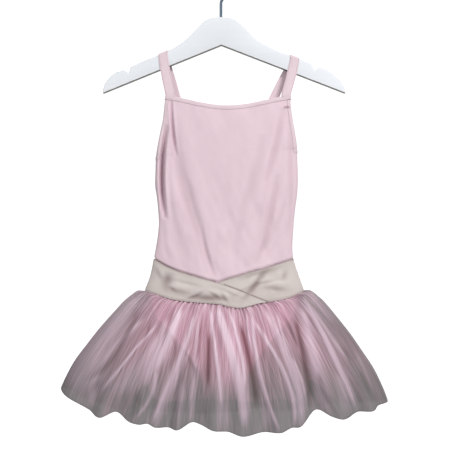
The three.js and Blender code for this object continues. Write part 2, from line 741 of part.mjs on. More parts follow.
function strap(side) {
  const { front, over, back } = STRAPS[side];
  const beside = WOOD.thick / 2 + GAP + STRAP.wall;
  const lift = 1.6 * GAP + STRAP.wall;
  const lean = Math.atan((woodTop(over + 2) - woodTop(over - 2)) / 4);
  const neck = (x) => neckEdge(x) + GAP + EASE;
  const peak = (x) => backTopEdge(x) + GAP + EASE;
  const frontY = frontOf(side * 0.9, NECK.corner).y - 0.2;
  const backY = backOf(side * 0.5, BACK_NECK.peak).y;
  // `onto` is what the strap's width follows there; else it leans by `lean`
  const rows = table(
    ['x', 'y', 'z', 'lean', 'down', 'onto'],
    [front, frontY, 0, 0, 0, neck],
    [lerp(front, over, 0.35), lerp(frontY, -beside, 0.45), lerp(neck(front), woodTop(over), 0.3), 0, 0],
    [lerp(front, over, 0.75), -beside - 0.2, lerp(neck(front), woodTop(over), 0.66), lean * 0.5, 0],
    [over, -beside, -4, lean, 0, woodTop],
    [over, -beside, -1, lean, 8, woodTop],
    [over, -beside + 0.9, lift * 0.8, lean, 45, woodTop],
    [over, -beside + 2.6, lift, lean, 82, woodTop],
    [over, 0, lift, lean, 90, woodTop],
    [over, beside - 2.6, lift, lean, 98, woodTop],
    [over, beside - 0.9, lift * 0.8, lean, 135, woodTop],
    [over, beside, -1, lean, 172, woodTop],
    [over, beside, -4, lean, 180, woodTop],
    [lerp(over, back, 0.3), beside + 0.2, lerp(woodTop(over), BACK_NECK.peak, 0.3), lean * 0.5, 180],
    [lerp(over, back, 0.65), lerp(beside, backY, 0.6), lerp(woodTop(over), BACK_NECK.peak, 0.65), 0, 180],
    [back, backY + 0.2, 0, 0, 180, peak],
  );
  const count = rows.length - 1;
  return clothWall({ columns: 2, rows: count, wall: STRAP.wall }, (u, v) => {
    const row = rows[Math.round((1 - v) * count)];
    const turn = THREE.MathUtils.degToRad(row.down);
    const out = new THREE.Vector3(0, -Math.cos(turn), Math.sin(turn));
    const across = new THREE.Vector3(Math.cos(row.lean), 0, Math.sin(row.lean));
    out.addScaledVector(across, -out.dot(across)).normalize();
    const point = new THREE.Vector3(row.x, row.y, row.z);
    point.addScaledVector(across, STRAP.wide * (u - 0.5));
    if (row.onto) point.z = row.z + row.onto(point.x);
    return { point, out };
  });
}

const finish = (color, roughness, metalness = 0) => ({ color, roughness, metalness });
const FINISH = {
  jersey: finish(0xe3cad3, 0.9),
  binding: finish(0xdfc4ce, 0.85),
  satin: finish(0xcabfba, 0.45),
  outerNet: finish(0xa7909c, 0.95),
  innerNet: finish(0xcf9cae, 0.95),
  paint: finish(0xecedef, 0.4),
  wire: finish(0x39424c, 0.35, 0.9),
};

const leotard = new THREE.Group();
function add(name, look, geometry) {
  const mesh = new THREE.Mesh(geometry, new THREE.MeshStandardMaterial(FINISH[look]));
  mesh.name = name;
  leotard.add(mesh);
}

const wasm = await Module();
wasm.setup();

add('hanger_body', 'paint', hangerBody(wasm));
add('hanger_hook', 'wire', hangerHook());
add('bodice_front', 'jersey', bodiceFront());
add('bodice_back', 'jersey', bodiceBack());
add('neck_binding_front', 'binding', neckBindingFront());
add('neck_binding_back', 'binding', neckBindingBack());
add('armhole_binding_left', 'binding', armholeBinding(-1));
add('armhole_binding_right', 'binding', armholeBinding(1));
add('strap_left', 'binding', strap(-1));
add('strap_right', 'binding', strap(1));
add('waistband_front_over', 'satin', waistbandOver());
add('waistband_front_under', 'satin', waistbandUnder());
add('waistband_back', 'satin', waistbandBack());
add('skirt_outer_front', 'outerNet', skirtLayer(OUTER, -1));
add('skirt_outer_back', 'outerNet', skirtLayer(OUTER, 1));
add('skirt_inner_front', 'innerNet', skirtLayer(INNER, -1));
add('skirt_inner_back', 'innerNet', skirtLayer(INNER, 1));
add('brief_front', 'jersey', brief(-1));
add('brief_back', 'jersey', brief(1));

export default leotard;
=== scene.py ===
# %% [markdown]
# # A child's ballet leotard on a wooden hanger
#
# The real thing is a camisole leotard: a jersey bodice and brief, a crossed satin waistband and a
# gathered skirt of two layers of soft net. It hangs by its straps on a flat painted hanger.
#
# The packed CAD model is the fixed frame. It says where each piece is, so the script only has to
# give every piece its fine shape and its finish. The CAD pieces stay in the scene, hidden.

# %% The packed frame
import math

import bpy
import numpy as np
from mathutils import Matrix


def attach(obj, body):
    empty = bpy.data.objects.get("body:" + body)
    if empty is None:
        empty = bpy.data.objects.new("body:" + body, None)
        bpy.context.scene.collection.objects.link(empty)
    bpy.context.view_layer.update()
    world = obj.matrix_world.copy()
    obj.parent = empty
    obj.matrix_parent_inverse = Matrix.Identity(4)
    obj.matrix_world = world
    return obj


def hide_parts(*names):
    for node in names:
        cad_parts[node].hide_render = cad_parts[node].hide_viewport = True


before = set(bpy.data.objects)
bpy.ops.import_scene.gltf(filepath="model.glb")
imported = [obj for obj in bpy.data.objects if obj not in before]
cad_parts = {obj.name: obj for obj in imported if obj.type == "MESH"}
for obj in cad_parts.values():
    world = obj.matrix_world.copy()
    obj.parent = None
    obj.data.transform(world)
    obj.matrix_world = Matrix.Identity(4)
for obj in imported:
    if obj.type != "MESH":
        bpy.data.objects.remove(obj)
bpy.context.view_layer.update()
BODY_NAME = "root"
MM = 0.001  # the garment's sizes are in millimetres, and Blender's meshes in metres
print("nodes in the frame:", len(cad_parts))

# %% [markdown]
# ## Sizes as a maker writes them
#
# A pattern cutter measures a garment at named places. The same is done here: short tables with
# named columns, and a smooth curve through each column. A long list of vertices would say nothing
# about the shape, and a curve can be asked for its value anywhere.


# %% Tables and smooth curves
def table(names, *rows):
    return {name: np.array([row[k] for row in rows], float) for k, name in enumerate(names)}


def each_row(rows):
    """The rows of a table one by one, each with its values by name."""
    for values in zip(*rows.values()):
        yield dict(zip(rows, values))


def curve(rows, along, name):
    """A smooth curve through one column of a table, stepped through by the column `along`."""
    x, y = rows[along], rows[name]
    last = len(x) - 1
    before = np.maximum(np.arange(last + 1) - 1, 0)
    after = np.minimum(np.arange(last + 1) + 1, last)
    slope = (y[after] - y[before]) / (x[after] - x[before])
    way = np.sign(x[1] - x[0])

    def value(at):
        at = np.asarray(at, float)
        k = np.clip(np.searchsorted(way * x, way * at) - 1, 0, last - 1)
        span = x[k + 1] - x[k]
        f = np.clip((at - x[k]) / span, 0, 1)
        g = 1 - f
        ends = g * g * (1 + 2 * f) * y[k] + f * f * (1 + 2 * g) * y[k + 1]
        return ends + f * g * span * (g * slope[k] - f * slope[k + 1])

    return value


def lerp(a, b, f):
    return a + (b - a) * f


def bell(distance, width):
    return np.exp(-0.5 * (distance / width) ** 2)


def smooth(low, high, value):
    f = np.clip((value - low) / (high - low), 0, 1)
    return f * f * (3 - 2 * f)


print("a smooth step is halfway at:", float(smooth(0, 2, 1)))

# %% [markdown]
# ## The body of the garment
#
# Hung up, the garment is a tube that is nearly flat. Its outline is read from the front, and its
# depth is a guess that suits soft jersey. `s` runs across the tube from the left side seam at -1
# to the right one at 1, and `z` is the height below the inside of the hook's crown.

# %% Outline and depth of the body
GAP = 0.3  # between a binding's end and its neighbour
BINDING = 6.0
STRAP = {"wide": 12.5, "thick": 1.3}
NECK = {"corner": -162, "dip": 12.6, "middle": 9, "half": 80.8}
ARM = {"left": -240, "right": -231}
ARM_EDGE_OUT = 8
BACK_NECK = {"peak": -209, "dip": 23, "half": 46, "peak_out": 52.2}
ROUND = 0.375  # 0.5 makes the tube's section an ellipse, and less makes it squarer

BODY = table(
    ("z", "left", "right", "front", "back"),
    (-163, -71.9, 90.4, 12, 11),
    (-177, -73.8, 91.0, 12.5, 12),
    (-193, -75.6, 93.4, 13, 12.5),
    (-209, -79.0, 96.2, 13, 13),
    (-224, -82.0, 98.6, 13, 13),
    (-240, -84.5, 99.2, 13, 13),
    (-263, -85.4, 100.0, 13, 13),
    (-279, -85.6, 99.9, 13, 13),
    (-294, -83.4, 98.6, 13, 13),
    (-310, -81.8, 96.4, 13, 13),
    (-326, -80.8, 94.8, 13, 13),
    (-341, -81.9, 93.8, 13.5, 13.5),
    (-357, -84.3, 92.9, 14, 14),
    (-372, -87.1, 94.2, 15, 15),
    (-396, -92.3, 101.6, 17, 17),
    (-414, -98.8, 107.6, 19, 19),
    (-436, -103, 110, 20, 20),
)
outline_left = curve(BODY, "z", "left")
outline_right = curve(BODY, "z", "right")
front_depth = curve(BODY, "z", "front")
back_depth = curve(BODY, "z", "back")


def across_body(s, z):
    return lerp(outline_left(z), outline_right(z), (s + 1) / 2)


def place_of(x, z):
    return (2 * x - outline_left(z) - outline_right(z)) / (outline_right(z) - outline_left(z))


def roundness(s, power=ROUND):
    return np.maximum(1 - s * s, 0) ** power


def arm_at(s):
    return lerp(ARM["left"], ARM["right"], (s + 1) / 2)


print("chest laid flat, mm:", float(outline_right(-279) - outline_left(-279)))

# %% [markdown]
# ## Creases
#
# Soft jersey that hangs from two straps falls into long, shallow folds. A simulation would make
# some folds, but not these. Each crease is given one by one: where it starts and ends, how it bows,
# how wide and how deep it is. Low ridges stand beside each trough, because cloth that sinks in one
# place is pushed up next to it. The hidden back has creases of the same kind.

# %% Tables of creases
CREASE_COLUMNS = ("top_x", "top_z", "foot_x", "foot_z", "bow", "wide", "deep")
FRONT_CREASES = table(
    CREASE_COLUMNS,
    (-70.5, -200, -72.4, -322, -5.4, 2.2, 11),
    (-62, -192, -9, -398, -8.5, 6.0, 2.3),
    (80, -178, 58, -276, 2, 3.6, 2.6),
    (56, -212, 24, -322, 3, 6, 1.4),
    (73, -264, 45, -382, 4, 3.4, 3.2),
    (83, -300, 54, -366, 2, 4, 1.6),
    (86, -186, 88, -348, 3.5, 2.6, 2.2),
    (-60, -300, -38, -396, -3, 7, 1.3),
    # finer ones that the solid leaves out
    (-65, -166, -58, -240, -1.2, 1.4, 4.8),
    (-44, -268, -18, -352, -3, 2.6, 0.8),
    (-70, -236, -60, -330, -2, 2.4, 0.7),
    (-26, -330, -9, -396, -2, 1.8, 1.7),
    (10, -240, 4, -318, 1, 6.0, 0.5),
    (66, -228, 50, -300, 2, 2.2, 0.7),
    (88, -240, 78, -330, 1.5, 2.0, 0.6),
    (62, -300, 36, -384, 2, 2.0, 1.3),
    (80, -330, 62, -374, 1, 1.8, 0.7),
    (30, -300, 14, -372, 2, 4.0, 0.5),
    (-78, -300, -70, -372, -1, 2.4, 0.6),
)
BACK_CREASES = table(
    CREASE_COLUMNS,
    (-50, -214, -22, -330, 5, 5, 2.0),
    (56, -216, 34, -352, -4, 6, 1.9),
    (-70, -262, -48, -376, 3, 5, 1.8),
    (82, -270, 64, -366, -3, 4, 1.6),
    (8, -262, 2, -384, 4, 8, 1.3),
    (-30, -246, -18, -316, 2, 2.4, 0.7),
    (32, -252, 20, -340, -2, 2.8, 0.7),
    (-60, -318, -42, -372, 2, 2.0, 0.8),
    (54, -326, 40, -374, -1, 2.2, 0.8),
    (78, -240, 72, -300, 2, 2.0, 0.6),
    (-78, -250, -70, -330, -1, 2.0, 0.6),
)
print("creases placed by hand:", len(FRONT_CREASES["deep"]) + len(BACK_CREASES["deep"]))

# %% From creases to a surface
RIDGE = {"share": 0.28, "apart": 2.2}  # beside a trough: height by its depth, place by its width
CREASE_ENDS = 0.6  # the smaller, the longer a crease keeps its depth along its length
CREASE_SIDES = 0.2  # and the closer it runs up to the side seams
CRUMPLE = {
    "waves": 26, "seed": 11, "short": 11.0, "long": 46.0, "steep": 0.0052, "slant": 0.55,
    "sway": 0.9, "sway_long": 1.7, "calm": 0.35, "calm_z": -230, "full_z": -370, "back_at": 200,
}


def crease_depth(creases, x, z):
    depth = np.zeros(np.broadcast(x, z).shape)
    for c in each_row(creases):
        f = np.clip((z - c["top_z"]) / (c["foot_z"] - c["top_z"]), 0, 1)
        away = x - lerp(c["top_x"], c["foot_x"], f) - c["bow"] * 4 * f * (1 - f)
        apart = RIDGE["apart"] * c["wide"]
        beside = bell(away - apart, c["wide"]) + bell(away + apart, c["wide"])
        profile = bell(away, c["wide"]) - RIDGE["share"] * beside
        depth += c["deep"] * np.sin(np.pi * f) ** CREASE_ENDS * profile
    return depth


def crumple(x, z):
    """Faint unevenness all over: many weak waves, each with its own slant and length."""
    chance = np.random.default_rng(CRUMPLE["seed"])
    uneven = np.zeros(np.broadcast(x, z).shape)
    for _ in range(CRUMPLE["waves"]):
        long = chance.uniform(CRUMPLE["short"], CRUMPLE["long"])
        slant, start = chance.normal(0, CRUMPLE["slant"]), chance.uniform(0, math.tau)
        way = (x * math.cos(slant) + z * math.sin(slant)) / long
        sway = CRUMPLE["sway"] * np.sin(z / (CRUMPLE["sway_long"] * long) + 2 * start)
        uneven += CRUMPLE["steep"] * long * np.sin(math.tau * way + sway + start)
    return uneven * lerp(CRUMPLE["calm"], 1, smooth(CRUMPLE["calm_z"], CRUMPLE["full_z"], z))


def front_of(s, z, creases=1.0):
    x = across_body(s, z)
    above = np.maximum(z - arm_at(s), 0) / (NECK["corner"] - arm_at(s))
    edge = ARM_EDGE_OUT * np.sqrt(above)
    depth = edge + (front_depth(z) - edge) * roundness(s)
    folds = crease_depth(FRONT_CREASES, x, z) + crumple(x, z)
    y = -depth + creases * folds * roundness(s, CREASE_SIDES)
    return np.stack(np.broadcast_arrays(x, y, z), -1)


def back_of(s, z, creases=1.0):
    x = across_body(s, np.minimum(z, arm_at(s)))
    depth = back_depth(z) * roundness(s)
    folds = crease_depth(BACK_CREASES, x, z) + crumple(x + CRUMPLE["back_at"], z)
    y = depth - creases * folds * roundness(s, CREASE_SIDES)
    return np.stack(np.broadcast_arrays(x, y, z), -1)


print("the middle of the chest lies at y, mm:", float(front_of(np.array(0.0), -279)[1]))

# %% [markdown]
# ## Edges where pieces meet
#
# Every edge is a height over x, so a short loop finds where a column of cloth ends: step to the
# edge, look how far across that is, and step again until it settles.


# %% Edges of neck, armholes, waistband and skirt seam
def edge_through(*places):
    return curve(table(("x", "z"), *places), "x", "z")


over_top = edge_through(
    (-90, -371.5), (-69, -383.7), (-47.6, -391.6), (-26, -398.1),
    (-5.6, -403.8), (14.3, -410.4), (39, -420.2), (62, -430),
)
under_top = edge_through(
    (-66, -421.6), (-30, -411.4), (-1.3, -402.6), (10.3, -398.8),
    (32, -392.4), (53.6, -386.4), (75.3, -379.8), (96, -373.2),
)
skirt_seam_front = edge_through(
    (-108, -412.5), (-98.8, -415.0), (-79, -420.6), (-62, -425.4), (-40, -428.4),
    (-18.6, -430), (-1.3, -431.6), (13, -435.2), (24.7, -436.4), (36, -434.4),
    (50.7, -430.2), (68, -427.6), (87, -423.8), (99.8, -418.8), (112, -414.6),
)
WAIST_HALF = 104


def dipped(side, dip):
    """An edge at height `side` at both side seams, which dips by `dip` in the middle."""
    return lambda x: side - dip * np.cos(np.clip(x / WAIST_HALF, -1, 1) * np.pi / 2)


back_band_top = dipped(-372, 5)
skirt_seam_back = dipped(-414.5, 8)


def neck_edge(x):
    turn = np.clip((x - NECK["middle"]) / NECK["half"], -1, 1)
    return NECK["corner"] - NECK["dip"] * np.cos(turn * np.pi / 2) ** 1.5


def back_top_edge(x):
    out = np.abs(x)
    scoop = BACK_NECK["peak"] - BACK_NECK["dip"] * (
        0.5 + 0.5 * np.cos(np.pi * np.minimum(out / BACK_NECK["half"], 1))
    )
    foot = np.where(x < 0, ARM["left"], ARM["right"])
    side = np.abs(np.where(x < 0, outline_left(foot), outline_right(foot)))
    f = smooth(0, 1, (side - out) / (side - BACK_NECK["peak_out"]))
    return np.where(out < BACK_NECK["half"], scoop, lerp(foot, BACK_NECK["peak"], f))


def below(edge, width):
    """An edge moved down by `width`, measured square to the edge."""
    return lambda x: edge(x) - width * np.hypot(1, edge(x + 0.5) - edge(x - 0.5))


def meet(surface, s, edge):
    z = edge(np.zeros_like(s))
    for _ in range(6):
        z = edge(surface(s, z, 0)[..., 0])
    return z


bodice_length = neck_edge(NECK["middle"]) - skirt_seam_front(NECK["middle"])
print("front neck to skirt seam, mm:", float(bodice_length))

# %% [markdown]
# ## From a grid of points to cloth
#
# Each piece of cloth is a grid: `u` to the right and `v` down, as seen from outside. Blender's
# Solidify modifier could thicken it, but at a side seam front and back have to meet squarely, so
# the inner face is laid out here too. The UV map holds the flat cloth in metres, so a knit or a
# weave keeps its real size and follows the cloth round every fold.


# %% Grids
def grid(columns, rows):
    """u and v for each point of a grid, as two arrays of rows by columns."""
    return np.meshgrid(np.linspace(0, 1, columns + 1), np.linspace(0, 1, rows + 1))


def crowded(u):
    """Columns lie closer together at the side seams, where the cloth turns."""
    return lerp(-np.cos(np.pi * u), 2 * u - 1, 0.4)


def way_out(points, square_sides=False):
    """The way square to the cloth at each point. At side seams it can be kept straight sideways."""
    across = np.gradient(points, axis=1)
    down = np.gradient(points, axis=0)
    out = np.cross(down, across)
    if square_sides:
        out[:, [0, -1], 1] = 0
    return out / np.maximum(np.linalg.norm(out, axis=-1, keepdims=True), 1e-9)


def grid_faces(columns, rows, start=0):
    i, j = np.meshgrid(np.arange(columns), np.arange(rows))
    a = (j * (columns + 1) + i + start).ravel()
    return np.stack([a, a + columns + 1, a + columns + 2, a + 1], -1)


print("faces in a grid of 4 by 2:", len(grid_faces(4, 2)))


# %% Meshes
SHARP_FROM = 40  # degrees between two faces, from which the edge between them looks sharp


def in_scene(name, data):
    made = bpy.data.objects.new(name, data)
    bpy.context.scene.collection.objects.link(made)
    return made


def shade_smooth(mesh, sharp_from):
    mesh.polygons.foreach_set("use_smooth", [True] * len(mesh.polygons))
    mesh.set_sharp_from_angle(angle=math.radians(sharp_from))


def mesh_piece(name, points, faces, finish, sharp_from=SHARP_FROM):
    mesh = bpy.data.meshes.new(name)
    mesh.from_pydata((points * MM).tolist(), [], faces)
    shade_smooth(mesh, sharp_from)
    mesh.materials.append(finish)
    return in_scene(name, mesh)


def hold(mesh, key, value):
    """Gives each point of a mesh a number that its finish can read."""
    held = mesh.attributes.new(key, "FLOAT", "POINT")
    held.data.foreach_set("value", value.astype(np.float32))


def lay_flat(mesh, uv):
    corners = np.empty(len(mesh.loops), np.int32)
    mesh.loops.foreach_get("vertex_index", corners)
    mesh.uv_layers.new(name="flat").data.foreach_set("uv", (uv * MM)[corners].ravel())


print("edges look sharp from, degrees:", SHARP_FROM)


# %% Cloth, and where it belongs
def cloth(name, points, flat, finish, wall=None, out=None, values=None):
    """A grid of points as cloth: a single face of net, or a closed wall if `wall` is given."""
    rows, columns = points.shape[0] - 1, points.shape[1] - 1
    u, v = grid(columns, rows)
    uv = np.stack([u * flat[0], (1 - v) * flat[1]], -1).reshape(-1, 2)
    layers, faces = [points], [grid_faces(columns, rows)]
    if wall is not None:
        size = (rows + 1) * (columns + 1)
        layers.append(points - wall * (way_out(points) if out is None else out))
        faces.append(grid_faces(columns, rows, size)[:, ::-1])
        at = np.arange(size).reshape(rows + 1, columns + 1)
        rim = np.concatenate([at[0, ::-1], at[1:, 0], at[-1, 1:], at[-2:0:-1, -1]])
        after = np.roll(rim, -1)
        faces.append(np.stack([rim, rim + size, after + size, after], -1))
    whole = np.concatenate([layer.reshape(-1, 3) for layer in layers])
    piece = mesh_piece(name, whole, np.concatenate(faces).tolist(), finish)
    lay_flat(piece.data, np.concatenate([uv] * len(layers)))
    for key, value in (values or {}).items():
        hold(piece.data, key, np.tile(value.ravel(), len(layers)))
    print(name, "faces:", len(piece.data.polygons))
    return piece


def belongs(piece, slot, *nodes):
    """Says where a piece belongs: its body, and the CAD nodes it stands for, which it hides. `slot`
    is not used.
    """
    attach(piece, BODY_NAME)
    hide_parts(*nodes)
    return piece


def cut_from(piece, flat, share=None, layers=2):
    """Says what cloth a piece was cut from. `share` is the part of the flat rectangle that the
    cut fills, and a wall has two layers."""
    size = tuple(length * MM for length in flat)
    cut = (share or 1) * size[0] * size[1]
    shown = sum(face.area for face in piece.data.polygons) / layers
    print(piece.name, "shows", round(shown / cut, 2), "of its flat cut")


print("all pieces ride on:", BODY_NAME)

# %% [markdown]
# ## Shader maths as Python
#
# Materials here are worked out from a few numbers, and a tree of Math nodes is hard to read. A
# small class wraps a socket, so that `0.5 + 2 * streaks` adds the two Math nodes by itself. Any
# other node comes from one method.


# %% A socket that does maths
class Wire:
    def __init__(self, look, socket):
        self.look, self.socket = look, socket

    def maths(self, operation, *values):
        inputs = dict(enumerate(values))
        return self.look.node("ShaderNodeMath", {"operation": operation}, inputs)

    def __add__(self, other):
        return self.maths("ADD", self, other)

    def __sub__(self, other):
        return self.maths("SUBTRACT", self, other)

    def __rsub__(self, other):
        return self.maths("SUBTRACT", other, self)

    def __mul__(self, other):
        return self.maths("MULTIPLY", self, other)

    __radd__ = __add__
    __rmul__ = __mul__

    def kept(self, low=0.0, high=1.0):
        return self.maths("MINIMUM", self.maths("MAXIMUM", self, low), high)


print("a wire also works on the right of:", [key for key in vars(Wire) if key.startswith("__r")])

# %% A finish that holds nodes
ONE_BAND = math.tau / 20  # the Wave texture's scale that gives one band to a unit


class Look:
    """One material: constants go straight onto the Principled shader's sockets."""

    def __init__(self, name, **constants):
        self.material = bpy.data.materials.new(name)
        self.material.use_nodes = True
        self.tree = self.material.node_tree
        self.shader = self.tree.nodes["Principled BSDF"]
        self.feed(**constants)

    def node(self, kind, settings=None, inputs=None, output=0):
        made = self.tree.nodes.new(kind)
        for key, value in (settings or {}).items():
            setattr(made, key, value)
        for key, value in (inputs or {}).items():
            self.put(made.inputs[key], value)
        return Wire(self, made.outputs[output])

    def put(self, socket, value):
        if isinstance(value, Wire):
            self.tree.links.new(value.socket, socket)
        else:
            socket.default_value = value

    def feed(self, **inputs):
        for key, value in inputs.items():
            self.put(self.shader.inputs[key.replace("_", " ")], value)

    def mixed(self, factor, first, second):
        settings = {"data_type": "RGBA"}
        return self.node("ShaderNodeMix", settings, {0: factor, 6: first, 7: second}, 2)

    def spot(self, scale, source="UV", slant=0.0):
        """A place on the cloth, turned by `slant` and stretched by `scale`, in patterns a metre."""
        place = self.node("ShaderNodeTexCoord", output=source)
        inputs = {"Vector": place, "Rotation": (0, 0, slant), "Scale": [1 / k for k in scale]}
        return self.node("ShaderNodeMapping", {"vector_type": "TEXTURE"}, inputs)

    def noise(self, scale, detail=2.0, roughness=0.5, source="UV", slant=0.0):
        inputs = {"Vector": self.spot(scale, source, slant), "Scale": 1.0}
        inputs.update({"Detail": detail, "Roughness": roughness})
        return self.node("ShaderNodeTexNoise", inputs=inputs)

    def wave(self, scale, direction, source="UV"):
        settings = {"bands_direction": direction, "wave_profile": "SIN"}
        inputs = {"Vector": self.spot(scale, source), "Scale": ONE_BAND}
        return self.node("ShaderNodeTexWave", settings, inputs, "Fac")

    def bump(self, height, strength, distance):
        inputs = {"Height": height, "Strength": strength, "Distance": distance}
        self.feed(Normal=self.node("ShaderNodeBump", inputs=inputs))

    def value_of(self, attribute):
        settings = {"attribute_name": attribute, "attribute_type": "GEOMETRY"}
        return self.node("ShaderNodeAttribute", settings, output="Fac")


def paint(red, green, blue):
    """A colour as a picture shows it, from 0 to 255, turned into the shader's linear light."""
    shares = [channel / 255 for channel in (red, green, blue)]
    linear = [c / 12.92 if c <= 0.04045 else ((c + 0.055) / 1.055) ** 2.4 for c in shares]
    return (*linear, 1.0)


print("half grey in linear light:", round(paint(128, 128, 128)[0], 3))

# %% [markdown]
# ## Finishes
#
# Jersey is a fine knit: upright wales crossed by courses, a bit under a millimetre apart, with a
# soft bloom on top. Satin is smooth, with a sheen along its long floats and a very fine weave. Both
# get their colour from a slow noise, because cloth is never quite even, and their surface from a
# small bump. On the satin that noise spans wide, so it is also painted sheen and painted shade of
# small creases. Shade is painted into the jersey's creases and into the satin's edges and puckers.

# %% Jersey, binding and satin
WALES = 1200.0  # knit columns a metre
COURSES = 1500.0
# painted shade: the dark colours laid into the jersey's creases and the satin's edges and puckers
CREASE_PAINTED_SHADE = paint(132, 92, 106)
SATIN_PAINTED_SHADE = paint(112, 88, 84)


def jersey_look(name, pale, deep):
    look = Look(
        name, Roughness=0.82, Sheen_Weight=0.25, Sheen_Roughness=0.5, Specular_IOR_Level=0.25
    )
    slow = look.noise((14.0, 9.0, 1.0), 3.0)
    flecks = look.noise((420.0, 260.0, 1.0), 2.0)
    shade = (0.65 * slow + 0.35 * flecks).kept()
    colour = look.mixed(shade, deep, pale)
    # painted shade in the creases: the crease value mixes the colour towards the dark one
    look.feed(Base_Color=look.mixed(0.55 * look.value_of("crease"), colour, CREASE_PAINTED_SHADE))
    knit = look.wave((WALES, 1.0, 1.0), "X") * 0.7 + look.wave((1.0, COURSES, 1.0), "Y") * 0.3
    look.bump(knit + 0.6 * flecks, 0.25, 0.00025)
    return look.material


JERSEY = jersey_look("pale_pink_jersey", paint(239, 215, 224), paint(227, 201, 211))
JERSEY_STRIP = jersey_look("folded_jersey_strip", paint(236, 215, 222), paint(224, 202, 210))


def satin_look(name, pale, deep):
    look = Look(
        name, Sheen_Weight=0.2, Sheen_Roughness=0.35, Anisotropic=0.3, Specular_IOR_Level=0.55
    )
    slow = look.noise((22.0, 34.0, 1.0), 3.0)
    floats = look.noise((260.0, 2600.0, 1.0), 2.0, 0.6)
    # uneven tone, and also painted sheen and painted shade of small creases, from deep to pale
    colour = look.mixed((0.7 * slow + 0.3 * floats).kept(), deep, pale)
    # painted shade: the turned value darkens turned edges, puckers and the edge under the top wedge
    look.feed(Base_Color=look.mixed(look.value_of("turned"), colour, SATIN_PAINTED_SHADE))
    look.feed(Roughness=0.38 + 0.2 * floats)
    look.bump(floats, 0.18, 0.00015)
    return look.material


SATIN = satin_look("beige_satin", paint(224, 215, 211), paint(186, 173, 168))
print("finishes:", [m.name for m in (JERSEY, JERSEY_STRIP, SATIN)])

# %% [markdown]
# Soft net is see-through, so its shader has an alpha below one. What the eye sees is how much net
# lies there, and the light and shade on it are painted in, so the finish reads four values that the
# skirt's mesh carries: `fall`, the share of the way down, `dense`, where folded net is denser and
# painted paler as a highlight, `gap`, the hollow between two folds, with painted shade, and `near`,
# where pink cloth lies close behind, painted on as its pink glow. The photo's net is smoky towards
# the hem.
#
# Between the listed folds, the net has fine pleats that lean a little to either side. They are too
# many for a mesh, so four stretched noises draw them, as painted light and shade and as denser net,
# and are added up.

# %% Net
# net colours: pale is the painted highlight on folds, shade the painted shade in hollows
PINK = {"net": paint(226, 176, 194), "pale": paint(244, 216, 230), "shade": paint(140, 88, 100)}
SMOKE = {"net": paint(132, 127, 128), "pale": paint(186, 166, 178), "shade": paint(92, 88, 86)}
PLEATS = table(
    ("weight", "across", "along", "roughness", "slant"),
    (1.3, 40, 9, 0.5, 0.1),
    (1.9, 400, 11, 0.65, 0),
    (1.5, 310, 14, 0.65, 0.16),
    (1.5, 340, 12, 0.65, -0.13),
)
EVEN_NET = 3.1  # taken from the sum, so that the pleats are as often paler as darker


def pleat_lines(look, fall):
    lines = -EVEN_NET
    for pleat in each_row(PLEATS):
        size = (pleat["across"], pleat["along"], 1.0)
        noise = look.noise(size, 3.0, pleat["roughness"], slant=pleat["slant"])
        lines = noise * pleat["weight"] + lines
    return lines * (1.05 - 0.5 * fall)


def net_look(name, top_opacity, hem_opacity):
    look = Look(
        name, Roughness=0.9, Sheen_Weight=0.08, Sheen_Roughness=0.6, Specular_IOR_Level=0.1
    )
    fall, dense, gap, near = (look.value_of(key) for key in ("fall", "dense", "gap", "near"))
    lines = pleat_lines(look, fall)
    # painted glow: near and the pleats turn the smoky net pink
    tone = (near + 0.3 * lines).kept()
    net, pale, shade = (look.mixed(tone, SMOKE[key], PINK[key]) for key in ("net", "pale", "shade"))
    # painted highlight: folded net and the pleats' ridges are mixed towards the pale colour
    colour = look.mixed((1.15 * dense + 0.5 * lines).kept(), net, pale)
    # painted shade: hollows, sides, hem edge and the pleats' valleys are mixed towards the shade
    # colour
    look.feed(Base_Color=look.mixed((gap - 0.2 * lines).kept(), colour, shade))
    opacity = top_opacity + (hem_opacity - top_opacity) * fall
    look.feed(Alpha=(opacity + 0.3 * dense + 0.3 * gap + 0.25 * lines).kept(0.15, 0.98))
    return look.material


OUTER_NET = net_look("skirt_net", 0.58, 1.1)
INNER_NET = net_look("underskirt_net", 0.62, 0.72)
print("net finishes:", OUTER_NET.name, INNER_NET.name)

# %% [markdown]
# ## Bodice
#
# The front and back are single panels of jersey. Their raw edges run into the bindings and under
# the waistband, as they are sewn, so no gap shows at a seam. `tuck` sinks an edge a little way
# under its neighbour.

# %% Front and back bodice
PANEL = {
    "columns": 150, "rows": 150, "wide": 186, "wall": 0.7, "under_binding": 2.0,
    "under_band": 3.0, "tuck": 2.4, "arm_low": 5.5, "arm_high": 2.5,
}
DEEPEST = 6.0  # a crease this deep has its full shade


def bodice_panel(name, surface, creases, s, z, lowest, length):
    """A panel of jersey, tucked under the waistband at its foot, with shade painted into its creases.
    """
    points = surface(s, z)
    past = lowest(points[..., 0]) + 2 * PANEL["under_band"] - z
    out = way_out(surface(s, z, 0), square_sides=True)
    points = points - PANEL["tuck"] * smooth(0, PANEL["under_band"], past)[..., None] * out
    sunk = crease_depth(creases, points[..., 0], z) * roundness(s, CREASE_SIDES)
    # painted shade: the deeper the crease, the darker its colour
    values = {"crease": np.clip(sunk / DEEPEST, 0, 1)}
    return cloth(name, points, (PANEL["wide"], length), JERSEY, PANEL["wall"], out, values)


def front_foot(x):
    return np.maximum(over_top(x), under_top(x)) - PANEL["under_band"]


def back_foot(x):
    return back_band_top(x) - PANEL["under_band"]


